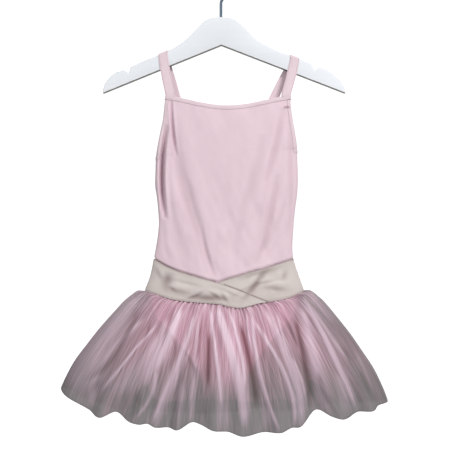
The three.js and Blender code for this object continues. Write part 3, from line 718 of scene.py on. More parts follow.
def bodice_front():
    """Its sides are drawn in where the armhole bindings cover them, which moves its top too."""
    u, v = grid(PANEL["columns"], PANEL["rows"])
    top = below(neck_edge, PANEL["under_binding"])
    s = crowded(u)
    for _ in range(4):
        z = lerp(meet(front_of, s, top), meet(front_of, s, front_foot), v)
        half = (outline_right(z) - outline_left(z)) / 2
        beside_arm = smooth(arm_at(s) - PANEL["arm_low"], arm_at(s) - PANEL["arm_high"], z)
        s = crowded(u) * (1 - PANEL["under_binding"] * beside_arm / half)
    return bodice_panel("bodice_front_panel", front_of, FRONT_CREASES, s, z, front_foot, 238)


def bodice_back():
    u, v = grid(PANEL["columns"], PANEL["rows"])
    s = -crowded(u)
    top = below(back_top_edge, PANEL["under_binding"])
    z = lerp(meet(back_of, s, top), meet(back_of, s, back_foot), v)
    return bodice_panel("bodice_back_panel", back_of, BACK_CREASES, s, z, back_foot, 168)


front_panel = belongs(bodice_front(), "jersey", "bodice_front")
back_panel = belongs(bodice_back(), "jersey", "bodice_back")

# %% [markdown]
# ## Bindings and straps
#
# Each raw edge is closed by a folded strip of the same jersey, and the straps are strips folded
# and topstitched. A strip is a soft, flattened tube: it is thickest in its middle and its long
# sides are round. So one helper takes the points of the strip's middle layer, laid out along and
# across, and gives it that section.


# %% A folded strip
SEAMS = {"jersey": [], "satin": []}  # lines of stitches, gathered while the pieces are made
STRIP = {"thick": 1.7, "columns": 8, "sink": 0.3}
ABOVE_CLOTH = 0.05  # how far a thread lies above the cloth


def strip(name, middle, out, thick, flat, finish, sewn=()):
    """`middle` has the strip's length along its rows and its width across its columns. `sewn`
    names the columns that carry a line of stitches."""
    across = np.linspace(-1, 1, middle.shape[1])
    swell = 0.5 * thick * np.sqrt(np.maximum(1 - np.abs(across) ** 3.5, 0.04))[None, :, None]
    for column in sewn:
        SEAMS["jersey"].append((middle + (swell + ABOVE_CLOTH) * out)[:, column])
    return cloth(name, middle + swell * out, flat, finish, 2 * swell, out)


print("binding, mm:", BINDING, "thick:", STRIP["thick"])


# %% Neck bindings
def binding(name, middle, out, length, sewn):
    middle = middle - STRIP["sink"] * out
    return strip(name, middle, out, STRIP["thick"], (BINDING, length), JERSEY_STRIP, sewn)


def neck_strip(name, surface, s, edge, length):
    """A strip along an edge of the body, from the edge itself to a binding's width below it."""
    outer, inner = meet(surface, s, edge), meet(surface, s, below(edge, BINDING))
    f = np.linspace(0, 1, STRIP["columns"] + 1)[None, :]
    z = lerp(outer[:, None], inner[:, None], f)
    across = s[:, None] + 0 * f
    out = way_out(surface(across, z, 0))
    return binding(name, surface(across, z), out, length, sewn=(STRIP["columns"] - 1,))


NECK_STEPS = 120
front_run = crowded(np.linspace(0, 1, NECK_STEPS + 1))[::-1]
peaks = [float(place_of(x, ARM["right"])) for x in (-BACK_NECK["peak_out"], BACK_NECK["peak_out"])]
back_run = np.linspace(peaks[0], peaks[1], NECK_STEPS + 1)
neck_front = neck_strip("neck_binding_front_strip", front_of, front_run, neck_edge, 166)
neck_back = neck_strip("neck_binding_back_strip", back_of, back_run, back_top_edge, 124)
belongs(neck_front, "binding", "neck_binding_front")
belongs(neck_back, "binding", "neck_binding_back")

# %% Armhole bindings
ARMHOLE = {"steps": 40, "turn_steps": 10, "turn_rise": 3, "back_bow": 1.25, "length": 170}


def armhole_rows(side):
    """Outer and inner edge of an armhole binding: down the front, round under the arm and up the
    back to the peak. Each is a list of (surface, s, z)."""
    foot = ARM["left"] if side < 0 else ARM["right"]
    half = float(outline_right(foot) - outline_left(foot)) / 2
    start = float(below(neck_edge, BINDING + GAP)(across_body(side, NECK["corner"])))
    outer, inner = [], []
    for f in np.linspace(0, 1, ARMHOLE["steps"])[:-1]:
        z = lerp(start, foot, f)
        outer.append((front_of, side, z))
        inner.append((front_of, side * (1 - BINDING / half), z))
    for turn in np.radians(np.linspace(0, 90, ARMHOLE["turn_steps"])):
        rise = ARMHOLE["turn_rise"] * (1 - turn / (np.pi / 2)) ** 2
        outer.append((front_of, side, foot + rise))
        into = side * (1 - BINDING * np.cos(turn) / half)
        inner.append((front_of, into, foot - BINDING * np.sin(turn)))
    peak = peaks[0] if side < 0 else peaks[1]
    low = below(back_top_edge, BINDING)
    for f in np.linspace(0, 1, ARMHOLE["steps"]):
        s = np.array(lerp(side, peak, f ** ARMHOLE["back_bow"]))
        outer.append((back_of, s, meet(back_of, s, back_top_edge)))
        inner.append((back_of, s, meet(back_of, s, low)))
    return outer, inner


def armhole_strip(side, name):
    f = np.linspace(0, 1, STRIP["columns"] + 1)
    points = []
    for (surface, s0, z0), (_, s1, z1) in zip(*armhole_rows(side)):
        points.append(surface(lerp(s0, s1, f), lerp(z0, z1, f)))
    points = np.array(points)
    if side > 0:
        points = points[:, ::-1]
    sewn = (1,) if side > 0 else (STRIP["columns"] - 1,)
    return binding(name, points, way_out(points), ARMHOLE["length"], sewn)


for side, word in ((-1, "left"), (1, "right")):
    piece = armhole_strip(side, f"armhole_binding_{word}_strip")
    belongs(piece, "binding", f"armhole_binding_{word}")
cut_from(front_panel, (190, 240), 0.92)
cut_from(back_panel, (190, 172), 0.84)

# %% [markdown]
# ## Straps over the wood
#
# A strap rises from the front neck corner, lies over the hanger's sloping arm and falls to the
# peak of the back. Its path is a table of places, and the strip turns over the wood with it.

# %% The wood's upper edge
WOOD = {"thick": 12.0, "tilt": math.radians(0.75), "foot": -59.8, "apex": -96.8}
ARM_TOP = table(
    ("out", "z"),
    (0, -59.8), (10.4, -60.5), (18.5, -63.3), (25.4, -68.4), (33.2, -76), (40.3, -83.6),
    (49.4, -91.4), (62.4, -99.4), (81.9, -108.2), (103.4, -116.4), (117.9, -122.8),
)
arm_top = curve(ARM_TOP, "out", "z")


def tilted(x, z):
    """A place on the wood once the hanger leans about the foot of its hook."""
    c, s = math.cos(WOOD["tilt"]), math.sin(WOOD["tilt"])
    z = z - WOOD["foot"]
    return c * x - s * z, s * x + c * z + WOOD["foot"]


def wood_top(x):
    flat = np.array(x, float)
    for _ in range(3):
        across, height = tilted(flat, arm_top(np.abs(flat)))
        flat = flat + x - across
    return height


print("the wood's top at its middle, mm:", round(float(wood_top(0)), 1))

# %% Straps
STRAP_PLACES = {  # x at the front neck, over the wood and at the back's peak
    -1: {"front": -66, "over": -75, "back": -45.8},
    1: {"front": 84.5, "over": 95.5, "back": 45.8},
}
STRAP_COLUMNS = 10
CLEAR = {"beside": 0.2, "above": 0.25}  # between a strap and the wood
OVER_WOOD = np.linspace(0.45, 0.59, 40)  # more steps where the strap turns over the wood


def strap(side, name):
    at = STRAP_PLACES[side]
    front, over, back = at["front"], at["over"], at["back"]
    beside = WOOD["thick"] / 2 + CLEAR["beside"] + STRAP["thick"] / 2
    lift = CLEAR["above"] + STRAP["thick"] / 2
    lean = math.atan((wood_top(over + 2) - wood_top(over - 2)) / 4)
    wood, neck, peak = float(wood_top(over)), float(neck_edge(front)), BACK_NECK["peak"]
    front_y = float(front_of(np.array(side * 0.9), NECK["corner"])[1]) - 0.2
    back_y = float(back_of(np.array(side * 0.5), BACK_NECK["peak"])[1])
    path = table(
        ("at", "x", "y", "z", "lean", "down"),
        (0, front, front_y + 0.4, neck - 4, 0, 0),
        (0.08, front, front_y, neck + 2, 0, 0),
        (0.22, lerp(front, over, 0.35), lerp(front_y, -beside, 0.45), lerp(neck, wood, 0.3), 0, 0),
        (0.36, lerp(front, over, 0.75), -beside - 0.2, lerp(neck, wood, 0.66), lean * 0.5, 0),
        (0.46, over, -beside, wood - 4, lean, 0),
        (0.48, over, -beside, wood - 1, lean, 8),
        (0.49, over, -beside + 0.9, wood + lift * 0.8, lean, 45),
        (0.50, over, -beside + 2.6, wood + lift, lean, 82),
        (0.52, over, 0, wood + lift, lean, 90),
        (0.54, over, beside - 2.6, wood + lift, lean, 98),
        (0.55, over, beside - 0.9, wood + lift * 0.8, lean, 135),
        (0.56, over, beside, wood - 1, lean, 172),
        (0.58, over, beside, wood - 4, lean, 180),
        (0.72, lerp(over, back, 0.3), beside + 0.2, lerp(wood, peak, 0.3), lean * 0.5, 180),
        (0.88, lerp(over, back, 0.65), lerp(beside, back_y, 0.6), lerp(wood, peak, 0.65), 0, 180),
        (0.98, back, back_y + 0.2, peak + 1, 0, 180),
        (1, back, back_y, peak - 4, 0, 180),
    )
    steps = np.unique(np.concatenate([np.linspace(0, 1, 70), OVER_WOOD]))
    columns = ("x", "y", "z", "lean", "down")
    x, y, z, leaning, down = (curve(path, "at", key)(steps) for key in columns)
    turn = np.radians(down)
    out = np.stack([0 * turn, -np.cos(turn), np.sin(turn)], -1)
    across = np.stack([np.cos(leaning), 0 * turn, np.sin(leaning)], -1)
    out = out - across * np.sum(out * across, -1, keepdims=True)
    out /= np.linalg.norm(out, axis=-1, keepdims=True)
    f = np.linspace(-0.5, 0.5, STRAP_COLUMNS + 1)[None, :, None] * STRAP["wide"]
    middle = np.stack([x, y, z], -1)[:, None, :] + f * across[:, None, :]
    out = np.repeat(out[:, None, :], STRAP_COLUMNS + 1, 1)
    flat, sewn = (STRAP["wide"], 150), (1, STRAP_COLUMNS - 1)
    return strip(name, middle[::-1], out[::-1], STRAP["thick"], flat, JERSEY_STRIP, sewn)


for side, word in ((-1, "left"), (1, "right")):
    piece = belongs(strap(side, f"strap_{word}_strip"), "binding", f"strap_{word}")
    cut_from(piece, (13.5, 160))

# %% [markdown]
# ## Satin waistband
#
# Two wedges of satin cross in front, and the back is one straight band. The wedge that lies on
# top has a folded upper edge, which casts the thin dark line of the photo; that line is also painted
# as shade along the edge and on the wedge below. The cloth puckers where the two are caught in the
# skirt seam, so the puckers are listed: where, how long, how tall. Their hollows get painted shade.

# %% Puckers in the satin
WAIST_PUCKERS = table(
    ("x", "z", "long", "tall", "lean", "deep"),
    (-17, -424, 15, 3.2, -0.05, 2.0),
    (-69, -400, 5, 8, -0.3, 1.8),
    (-52, -416, 12, 3, -0.2, 1.2),
    (43, -408, 13, 2.8, 0.9, 1.9),
    (50, -391, 17, 3.4, 0.25, 1.4),
    (70, -412, 10, 3, -0.1, 1.2),
    (-28, -419, 6, 1.6, 0.5, 1.1),
    (-8, -421, 6, 1.6, -0.5, 1.2),
    (4, -424, 5, 1.8, -0.9, 1.1),
    (-38, -423, 5, 1.5, 0.3, 0.9),
    (-62, -413, 4, 1.6, -0.5, 0.8),
    (30, -414, 8, 1.5, 0.5, 0.7),
    (58, -404, 9, 1.6, 0.15, 0.8),
    (82, -396, 6, 3.0, 1.2, 0.9),
    (-82, -392, 6, 2.6, -1.1, 0.8),
    (-44, -405, 14, 1.8, -0.25, 0.5),
    (12, -418, 12, 1.8, -0.4, 0.6),
)
PUCKER_RIDGE = {"share": 0.45, "apart": 2.1}


def pucker_depth(x, z):
    """Each pucker is a trough with a ridge above it, and both fade out along its length."""
    depth = np.zeros(x.shape)
    for p in each_row(WAIST_PUCKERS):
        c, s = math.cos(p["lean"]), math.sin(p["lean"])
        along = (x - p["x"]) * c + (z - p["z"]) * s
        across = (z - p["z"]) * c - (x - p["x"]) * s
        ridge = bell(across - PUCKER_RIDGE["apart"] * p["tall"], p["tall"])
        trough = bell(across, p["tall"]) - PUCKER_RIDGE["share"] * ridge
        depth += p["deep"] * bell(along, p["long"]) * trough
    return depth


print("puckers placed by hand:", len(WAIST_PUCKERS["deep"]))

# %% Cloth of a band
SATIN_CUT = {"columns": 130, "rows": 44, "wall": 0.9, "under_seam": 0.5, "sewn_rows": (2, 41)}


def turned_edge_shade(v):
    """The satin's upper edge is turned in and its lower one caught in the seam: both get painted
    shade.
    """
    return 0.85 * (1 - smooth(0, 0.04, v)) + 0.6 * smooth(0.975, 1, v)


def satin_grid(surface, s, top, foot):
    """Where a band's cloth lies before its folds, and the way out from there."""
    _, v = grid(SATIN_CUT["columns"], SATIN_CUT["rows"])
    z = lerp(meet(surface, s, top), meet(surface, s, foot) - SATIN_CUT["under_seam"], v)
    points = surface(s, z, 0)
    return points, way_out(points, square_sides=True)


def satin_band(name, points, out, raised, folds, shade, flat):
    """Folds the cloth, rolls its edges in, and keeps the lines that its stitches follow."""
    u, v = grid(SATIN_CUT["columns"], SATIN_CUT["rows"])
    z = points[..., 2]
    free = np.sin(np.pi * v) ** 0.5 * np.sin(np.pi * u) ** 0.3
    rolled = 0.5 * (1 - smooth(0, 0.05, v)) + 0.7 * smooth(0.94, 1, v)
    points = points + (raised - folds * free - rolled)[..., None] * out
    for row in SATIN_CUT["sewn_rows"]:
        SEAMS["satin"].append((points + ABOVE_CLOTH * out)[row])
    # painted shade: turned edges, puckers, and the shadow of the wedge above
    values = {"turned": np.maximum(turned_edge_shade(v), shade(points[..., 0], z))}
    return cloth(name, points, flat, SATIN, SATIN_CUT["wall"], out, values)


print("faces on each side of a band:", SATIN_CUT["columns"] * SATIN_CUT["rows"])

# %% Waistband
FULL_SHADE = 1.9  # a pucker this deep has its full shade


def pucker_shade(x, z):
    # painted shade in the puckers' hollows, by their depth
    return 0.75 * np.clip(pucker_depth(x, z) / FULL_SHADE, 0, 1)


def unshaded(x, z):
    return 0 * x


def shade_under_edge(x, z):
    """Painted shadow on the wedge below, along the edge of the one above, and painted shade in its
    puckers.
    """
    return np.maximum(pucker_shade(x, z), 0.8 * bell(z - over_top(x) - 0.4, 0.8) * (x > 4))


def waist_wedge(name, first, last, top, lift, shade):
    u, _ = grid(SATIN_CUT["columns"], SATIN_CUT["rows"])
    s = lerp(first, last, lerp(u, crowded(u) / 2 + 0.5, 0.5))
    points, out = satin_grid(front_of, s, top, skirt_seam_front)
    x, z = points[..., 0], points[..., 2]
    folds = pucker_depth(x, z) + 0.4 * crumple(1.3 * x, 1.3 * z)
    return satin_band(name, points, out, lift(x), folds, shade, (150, 46))


def over_lift(x):
    """The wedge above is raised all the way but for the side seam, where both are caught."""
    return 1.5 * smooth(-92, -68, x)


def under_lift(x):
    """The wedge below sinks where the other one covers it."""
    return -2.4 * (1 - smooth(-22, 12, x))


def waistband_back():
    u, _ = grid(SATIN_CUT["columns"], SATIN_CUT["rows"])
    points, out = satin_grid(back_of, -crowded(u), back_band_top, skirt_seam_back)
    folds = 0.8 * pucker_depth(6 - points[..., 0], points[..., 2] - 6)
    return satin_band("waistband_back_band", points, out, 0, folds, unshaded, (196, 42))


over_from, over_to = -1, float(place_of(60, -415))
under_from, under_to = float(place_of(-58, -415)), 1
over = waist_wedge("waistband_over_wedge", over_from, over_to, over_top, over_lift, pucker_shade)
under = waist_wedge(
    "waistband_under_wedge", under_from, under_to, under_top, under_lift, shade_under_edge
)
band = belongs(waistband_back(), "satin", "waistband_back")
belongs(over, "satin", "waistband_front_over")
belongs(under, "satin", "waistband_front_under")
cut_from(over, (165, 56), 0.62)
cut_from(under, (165, 56), 0.62)
cut_from(band, (205, 46))

# %% [markdown]
# ## Brief
#
# Under the skirt the leotard goes on as a brief. It shows softly through the net, with the dark V
# of each leg opening beside it. Its leg edges are turned in over elastic, so they are a little
# thicker.

# %% Brief
BRIEF = table(
    ("at", "z", "front_half", "back_half", "deep", "edge"),
    (0, -415, 96, 96, 13, 0),
    (0.12, -430, 93, 93, 13, 0),
    (0.24, -446, 88, 89, 12.5, 0.2),
    (0.36, -462, 74, 82, 11.5, 3),
    (0.48, -478, 60, 73, 10.5, 4.5),
    (0.6, -496, 45, 61, 9.5, 5),
    (0.72, -514, 33, 48, 8.5, 5),
    (0.83, -532, 27, 33, 7, 4.4),
    (0.9, -541, 26, 27, 6.2, 4.2),
    (0.95, -545.8, 26, 26, 4.4, 3.4),
    (1, -548, 26, 26, 0.1, 0.1),
)
BRIEF_MIDDLE = 4.5
BRIEF_CUT = {"columns": 90, "rows": 110, "wall": 0.8, "in_seam": 1.5, "hem": 0.45, "wrinkle": 0.5}
brief_z, brief_deep, brief_edge = (curve(BRIEF, "at", key) for key in ("z", "deep", "edge"))


def brief(face, name):
    u, v = grid(BRIEF_CUT["columns"], BRIEF_CUT["rows"])
    s, t = -face * crowded(u), lerp(v, v ** 0.8, 0.5)
    half = curve(BRIEF, "at", "front_half" if face < 0 else "back_half")(t)
    seam = skirt_seam_front if face < 0 else skirt_seam_back
    x = BRIEF_MIDDLE + s * half
    depth = brief_edge(t) + (brief_deep(t) - brief_edge(t)) * roundness(s, 0.45)
    z = brief_z(t) + (seam(x) + BRIEF_CUT["in_seam"] - BRIEF["z"][0]) * np.maximum(1 - t / 0.4, 0)
    wrinkle = np.sin(0.16 * x + 2.2 * np.sin(0.03 * z)) * np.sin(np.pi * t) ** 2
    wrinkle = BRIEF_CUT["wrinkle"] * wrinkle
    hem = BRIEF_CUT["hem"] * smooth(0.9, 0.93, np.abs(s)) * smooth(0.2, 0.32, t)
    y = face * (0.1 + depth + hem + wrinkle * roundness(s, 1.0))
    points = np.stack([x, y, z], -1)
    return cloth(name, points, (2 * half.max(), 150), JERSEY, BRIEF_CUT["wall"])


brief_front = belongs(brief(-1, "brief_front_panel"), "jersey", "brief_front")
brief_back = belongs(brief(1, "brief_back_panel"), "jersey", "brief_back")
cut_from(brief_front, (192, 122), 0.6)
cut_from(brief_back, (192, 122), 0.68)

# %% [markdown]
# ## Skirt
#
# Each layer is a rectangle of net, gathered into the waist seam. At the top there are many small
# gathers, which melt into a few deep flutes towards the hem. Simulated net would need a very fine
# mesh, and its folds could not be placed. So the layer spreads by a table, with columns for how far
# it stands out and falls at the sides and in front, and gathers, flutes and folds are added to it.


# %% How each layer spreads
def layer_of(rows, **sizes):
    names = ("side", "side_fall", "front", "front_fall")
    spreads = table(("at", *names), *rows)
    return {**sizes, **{name: curve(spreads, "at", name) for name in names}}


OUTER = layer_of(
    (
        (0, 0, 0, 0, 0),
        (0.048, 8.5, -1.6, 5, 5),
        (0.114, 18.1, 5, 10, 15),
        (0.18, 27.1, 13, 14, 26),
        (0.294, 40.8, 29, 19, 45),
        (0.456, 59.5, 52, 26, 71),
        (0.609, 75.9, 75, 32, 96),
        (0.761, 91.5, 98, 38, 120),
        (0.907, 103.5, 122, 43, 144),
        (1, 109.5, 137, 46, 158),
    ),
    inset=0.6, under=0, gathers=58, high=1.25, flutes=1, shift=0, dense=1, gap=1,
)
INNER = layer_of(
    (
        (0, 0, 0, 0, 0),
        (0.1, 4.5, 10, 1.5, 9),
        (0.22, 13, 23, 5, 22),
        (0.42, 27, 48, 10, 47),
        (0.62, 40, 75, 15, 73),
        (0.81, 50, 100, 20, 98),
        (1, 57, 124, 24, 123),
    ),
    inset=4.3, under=1.2, gathers=46, high=0.8, flutes=0.45, shift=0.04, dense=0.896, gap=0.84375,
)
INNER_HEM = table(
    ("at", "drop"),
    (-1, 9), (-0.95, 25), (-0.80, 21), (-0.70, -10), (-0.656, -18), (-0.61, -8), (-0.55, 1),
    (-0.46, 4), (-0.17, 0), (-0.1, 2), (0.05, 1), (0.24, 5), (0.45, 0), (0.55, 5), (0.66, -5),
    (0.74, -22), (0.82, -10), (0.9, 6), (1, 0),
)
OUTER["hem"] = np.zeros_like
INNER["hem"] = curve(INNER_HEM, "at", "drop")
print("the skirt's sides fall, mm:", float(OUTER["side_fall"](1)))

# %% [markdown]
# A flute is a wide wave of the hem: how far it stands out, and how far the hem drops there. A fold
# is a narrow one. Its row says where down the skirt it starts and ends, where across it lies at its
# top, middle and foot, how wide it is at both ends, and how dense the net is in it. A hollow
# between two folds is written as a negative density. All places run from -1 to 1 across the skirt.

# %% Flutes and folds
FLUTES = table(
    ("at", "out", "drop"),
    (-1, 0, -12), (-0.93, 5, -8), (-0.82, -6, -3), (-0.733, 7, 3), (-0.65, -8, -11),
    (-0.56, 3, -1), (-0.495, 7, 1), (-0.452, 1, -2), (-0.4, 6, 2), (-0.33, -5, -1),
    (-0.269, 8, 3), (-0.19, -9, -10), (-0.134, -4, -7), (-0.06, 7, 1), (0.03, -1, -1),
    (0.11, 8, 4), (0.232, -8, -3), (0.336, 7, 3), (0.4, 2, -1), (0.452, 6, 0),
    (0.556, -12, -20), (0.64, 2, -6), (0.702, 9, 1), (0.812, -7, -4), (0.88, 6, 3),
    (0.94, -3, 0), (1, 0, 4),
)
flute_out = curve(FLUTES, "at", "out")
flute_drop = curve(FLUTES, "at", "drop")
FOLDS = table(
    ("start", "end", "top", "mid", "low", "wide", "wider", "dense"),
    (0.10, 0.94, -0.925, -0.940, -0.975, 0.070, 0.110, 0.45),
    (0.23, 0.96, -0.760, -0.851, -0.815, 0.029, 0.032, 0.55),
    (0.26, 0.82, -0.625, -0.711, -0.780, 0.015, 0.015, 0.8),
    (0.27, 0.86, -0.527, -0.597, -0.647, 0.055, 0.077, 0.4),
    (0.18, 0.70, -0.560, -0.528, -0.532, 0.030, 0.028, 0.6),
    (0.09, 0.58, -0.468, -0.475, -0.492, 0.050, 0.030, 0.95),
    (0.55, 0.96, -0.500, -0.464, -0.532, 0.015, 0.015, 0.6),
    (0.11, 1.00, -0.295, -0.353, -0.432, 0.032, 0.018, 0.7),
    (0.36, 1.00, -0.277, -0.351, -0.402, 0.025, 0.024, 0.4),
    (0.15, 1.00, -0.252, -0.211, -0.200, 0.024, 0.018, 0.5),
    (0.64, 1.00, -0.282, -0.265, -0.270, 0.035, 0.036, 0.2),
    (0.07, 0.81, -0.145, -0.056, -0.012, 0.020, 0.012, 0.9),
    (0.06, 0.91, -0.055, 0.090, 0.125, 0.051, 0.031, 0.95),
    (0.03, 0.69, 0.050, 0.143, 0.133, 0.018, 0.012, 0.8),
    (0.57, 1.00, -0.057, -0.017, -0.012, 0.037, 0.043, 0.25),
    (0.06, 0.37, 0.250, 0.230, 0.238, 0.016, 0.012, 0.7),
    (0.10, 0.97, 0.292, 0.263, 0.325, 0.019, 0.012, 0.9),
    (0.15, 0.98, 0.315, 0.429, 0.415, 0.018, 0.013, 0.95),
    (0.65, 1.00, 0.268, 0.270, 0.230, 0.035, 0.036, 0.25),
    (0.09, 0.98, 0.458, 0.492, 0.463, 0.043, 0.030, 0.6),
    (0.13, 0.43, 0.542, 0.515, 0.530, 0.015, 0.011, 0.6),
    (0.49, 0.92, 0.518, 0.523, 0.510, 0.010, 0.010, 0.8),
    (0.11, 0.98, 0.812, 0.667, 0.623, 0.055, 0.049, 0.5),
    (0.65, 0.98, 0.805, 0.761, 0.732, 0.050, 0.049, 0.35),
    (0.08, 0.94, 0.865, 0.818, 0.805, 0.023, 0.015, 0.95),
    (0.15, 0.58, 0.877, 0.868, 0.885, 0.017, 0.015, 0.5),
    (0.04, 0.34, 0.965, 0.948, 0.973, 0.037, 0.036, 0.3),
    (0.59, 0.90, 0.965, 0.949, 0.945, 0.014, 0.013, 0.35),
    # hollows between folds, which get painted shade
    (0.17, 0.81, -0.848, -0.812, -0.877, 0.031, 0.027, -0.6),
    (0.75, 0.92, -0.830, -0.834, -0.853, 0.027, 0.038, -0.5),
    (0.22, 0.41, -0.685, -0.667, -0.657, 0.020, 0.017, -0.7),
    (0.74, 0.99, -0.560, -0.545, -0.560, 0.027, 0.037, -0.6),
    (0.10, 0.24, -0.525, -0.514, -0.522, 0.026, 0.019, -0.6),
    (0.30, 0.53, -0.445, -0.386, -0.392, 0.018, 0.023, -0.6),
    (0.40, 0.64, -0.312, -0.229, -0.213, 0.017, 0.021, -0.55),
    (0.18, 0.52, -0.225, -0.203, -0.220, 0.016, 0.018, -0.6),
    (0.24, 0.69, -0.140, -0.120, -0.110, 0.021, 0.025, -1.0),
    (0.84, 1.00, -0.115, -0.103, -0.070, 0.026, 0.030, -0.25),
    (0.14, 0.80, 0.165, 0.207, 0.210, 0.026, 0.030, -1.0),
    (0.14, 0.46, 0.370, 0.340, 0.300, 0.025, 0.024, -0.4),
    (0.15, 0.48, 0.607, 0.591, 0.575, 0.024, 0.020, -0.5),
    (0.18, 0.94, 0.690, 0.589, 0.538, 0.028, 0.027, -0.9),
    (0.63, 0.98, 0.655, 0.634, 0.665, 0.021, 0.025, -0.5),
    (0.48, 0.65, 0.905, 0.908, 0.913, 0.018, 0.019, -0.6),
    (0.69, 0.94, 0.925, 0.908, 0.917, 0.035, 0.044, -0.35),
)
print("folds placed by hand:", len(FOLDS["top"]), "flutes:", len(FLUTES["at"]))

# %% How the folds fill the net
FOLD_HEIGHT = {"fold": 1.2, "hollow": 1.6}
FOLD_WIDE = 0.6  # the bell's width as a share of the fold's
FOLDED_AGAIN = 0.25  # where two folds cross, the net is denser than in either


def back_place(s):
    """The back's flutes and folds are like the front's, seen the other way round and shifted."""
    return np.clip(-s + 0.05 * np.sin(np.pi * s), -1, 1)


def folds_at(s, t):
    """How dense the net is folded at each place, and how deep in a hollow it lies."""
    dense, gap = np.zeros(s.shape), np.zeros(s.shape)
    for f in each_row(FOLDS):
        way = np.clip((t - f["start"]) / (f["end"] - f["start"]), 0, 1)
        bow = 2 * (2 * f["mid"] - f["top"] - f["low"])
        path = lerp(f["top"], f["low"], way) + bow * way * (1 - way)
        ends = smooth(f["start"] - 0.04, f["start"] + 0.08, t)
        ends = ends * (1 - smooth(f["end"] - 0.12, f["end"] + 0.06, t))
        shape = ends * bell(s - path, lerp(f["wide"], f["wider"], way) * FOLD_WIDE)
        if f["dense"] > 0:
            dense = np.maximum(dense, f["dense"] * shape) + FOLDED_AGAIN * f["dense"] * shape
        else:
            gap = np.maximum(gap, -f["dense"] * shape)
    return np.clip(dense, 0, 1), gap


print("densest fold:", float(folds_at(FOLDS["mid"], 0.5 + 0 * FOLDS["mid"])[0].max()))

# %% Gathers, and what lies close behind the net
INNER_SHAPE = {"middle": 4.5, "top": -426, "fall": 123, "half_top": 101, "half_hem": 159}
NEAR = {"inner": 0.28, "inner_fades": 0.6, "brief": 0.26, "top": 0.4, "side": 0.22}


def gathers_at(layer, u, t):
    """Small gathers of uneven width, height and length, as thread pulls them up."""
    place = u + 0.006 * np.sin(math.tau * 7 * u + 1) + 0.004 * np.sin(math.tau * 17 * u + 2)
    height = 0.75 + 0.45 * np.sin(math.tau * 11 * u + 0.5) * np.sin(math.tau * 5 * u + 2)
    reach = 0.24 + 0.14 * np.sin(math.tau * 9 * u + 4) * np.sin(math.tau * 23 * u)
    fade = np.maximum(1 - t / reach, 0) ** 1.4
    return layer["high"] * height * fade * np.cos(math.tau * layer["gathers"] * place), fade


def close_behind(x, z, s, t):
    """Where the inner layer, the pink brief and the gathered top lie close behind the net, and the
    upper sides. The finish paints a pink glow there for the cloth behind.
    """
    lower = np.clip((INNER_SHAPE["top"] - z) / INNER_SHAPE["fall"], 0, 1)
    half = lerp(INNER_SHAPE["half_top"], INNER_SHAPE["half_hem"], lower)
    place = (x - INNER_SHAPE["middle"]) / half
    hem = INNER_SHAPE["top"] - INNER_SHAPE["fall"] - INNER["hem"](np.clip(place, -1, 1))
    on_inner = smooth(1.25, 0.75, np.abs(place)) * smooth(hem - 3, hem + 2, z)
    on_inner = on_inner * (1 - NEAR["inner_fades"] * smooth(0.5, 1.0, lower))
    half = curve(BRIEF, "z", "front_half")(z)
    on_brief = (1 - smooth(half - 3, half + 3, np.abs(x - BRIEF_MIDDLE))) * smooth(-552, -520, z)
    on_top = (1 - smooth(0.1, 0.8, t)) * (1 - smooth(0.55, 1.0, np.abs(s)))
    on_side = smooth(0.4, 1.0, np.abs(s)) * (1 - smooth(0.5, 1.0, t))
    shown = {"inner": on_inner, "brief": on_brief, "top": on_top, "side": on_side}
    return sum(NEAR[key] * share for key, share in shown.items())


print("gathers in each width:", OUTER["gathers"], INNER["gathers"])

# %% Skirt layers
NET_GRID = {"columns": 640, "rows": 80, "crowd_top": 1.35}
FLUTE_GROWS = 1.3  # flutes start at nothing in the seam and grow with this power of the way down


def skirt_base(layer, face, s, t):
    seam, surface = (skirt_seam_front, front_of) if face < 0 else (skirt_seam_back, back_of)
    point = surface(s, meet(surface, s, seam), 0)
    facing = np.sqrt(np.maximum(1 - s * s, 0))
    x = point[..., 0] + (layer["side"](t) - layer["inset"]) * s
    y = point[..., 1] + face * (layer["front"](t) - layer["inset"]) * facing
    z = point[..., 2] - lerp(layer["side_fall"](t), layer["front_fall"](t), facing ** 1.2)
    return np.stack([x, y, z], -1)


def hem_drop(layer, place, t):
    """How far the net hangs below its plain form."""
    return layer["flutes"] * flute_drop(place) * t ** FLUTE_GROWS + layer["hem"](place) * t ** 4


def net_values(layer, points, s, t, gather, gathered, dense, gap):
    """What the net's finish reads. Gathers fade into the folds: their ridges are painted paler as
    light and their valleys darker as shade. The sides get painted shade, and the net is darker along
    the hem's edge.
    """
    near = close_behind(points[..., 0], points[..., 2], s, t)
    dense = dense * layer["dense"] + gathered * (0.2 + 0.45 * (gather > 0))
    at_side = smooth(0.86, 1, np.abs(s)) * smooth(0.2, 0.9, t)
    gap = gap * layer["gap"] + 0.3 * gathered * (gather < 0) + 0.4 * smooth(0.985, 1, t)
    gap = np.clip(gap + 0.3 * at_side, 0, 1)
    return {"fall": t, "dense": np.clip(dense, 0, 1), "gap": gap, "near": near}


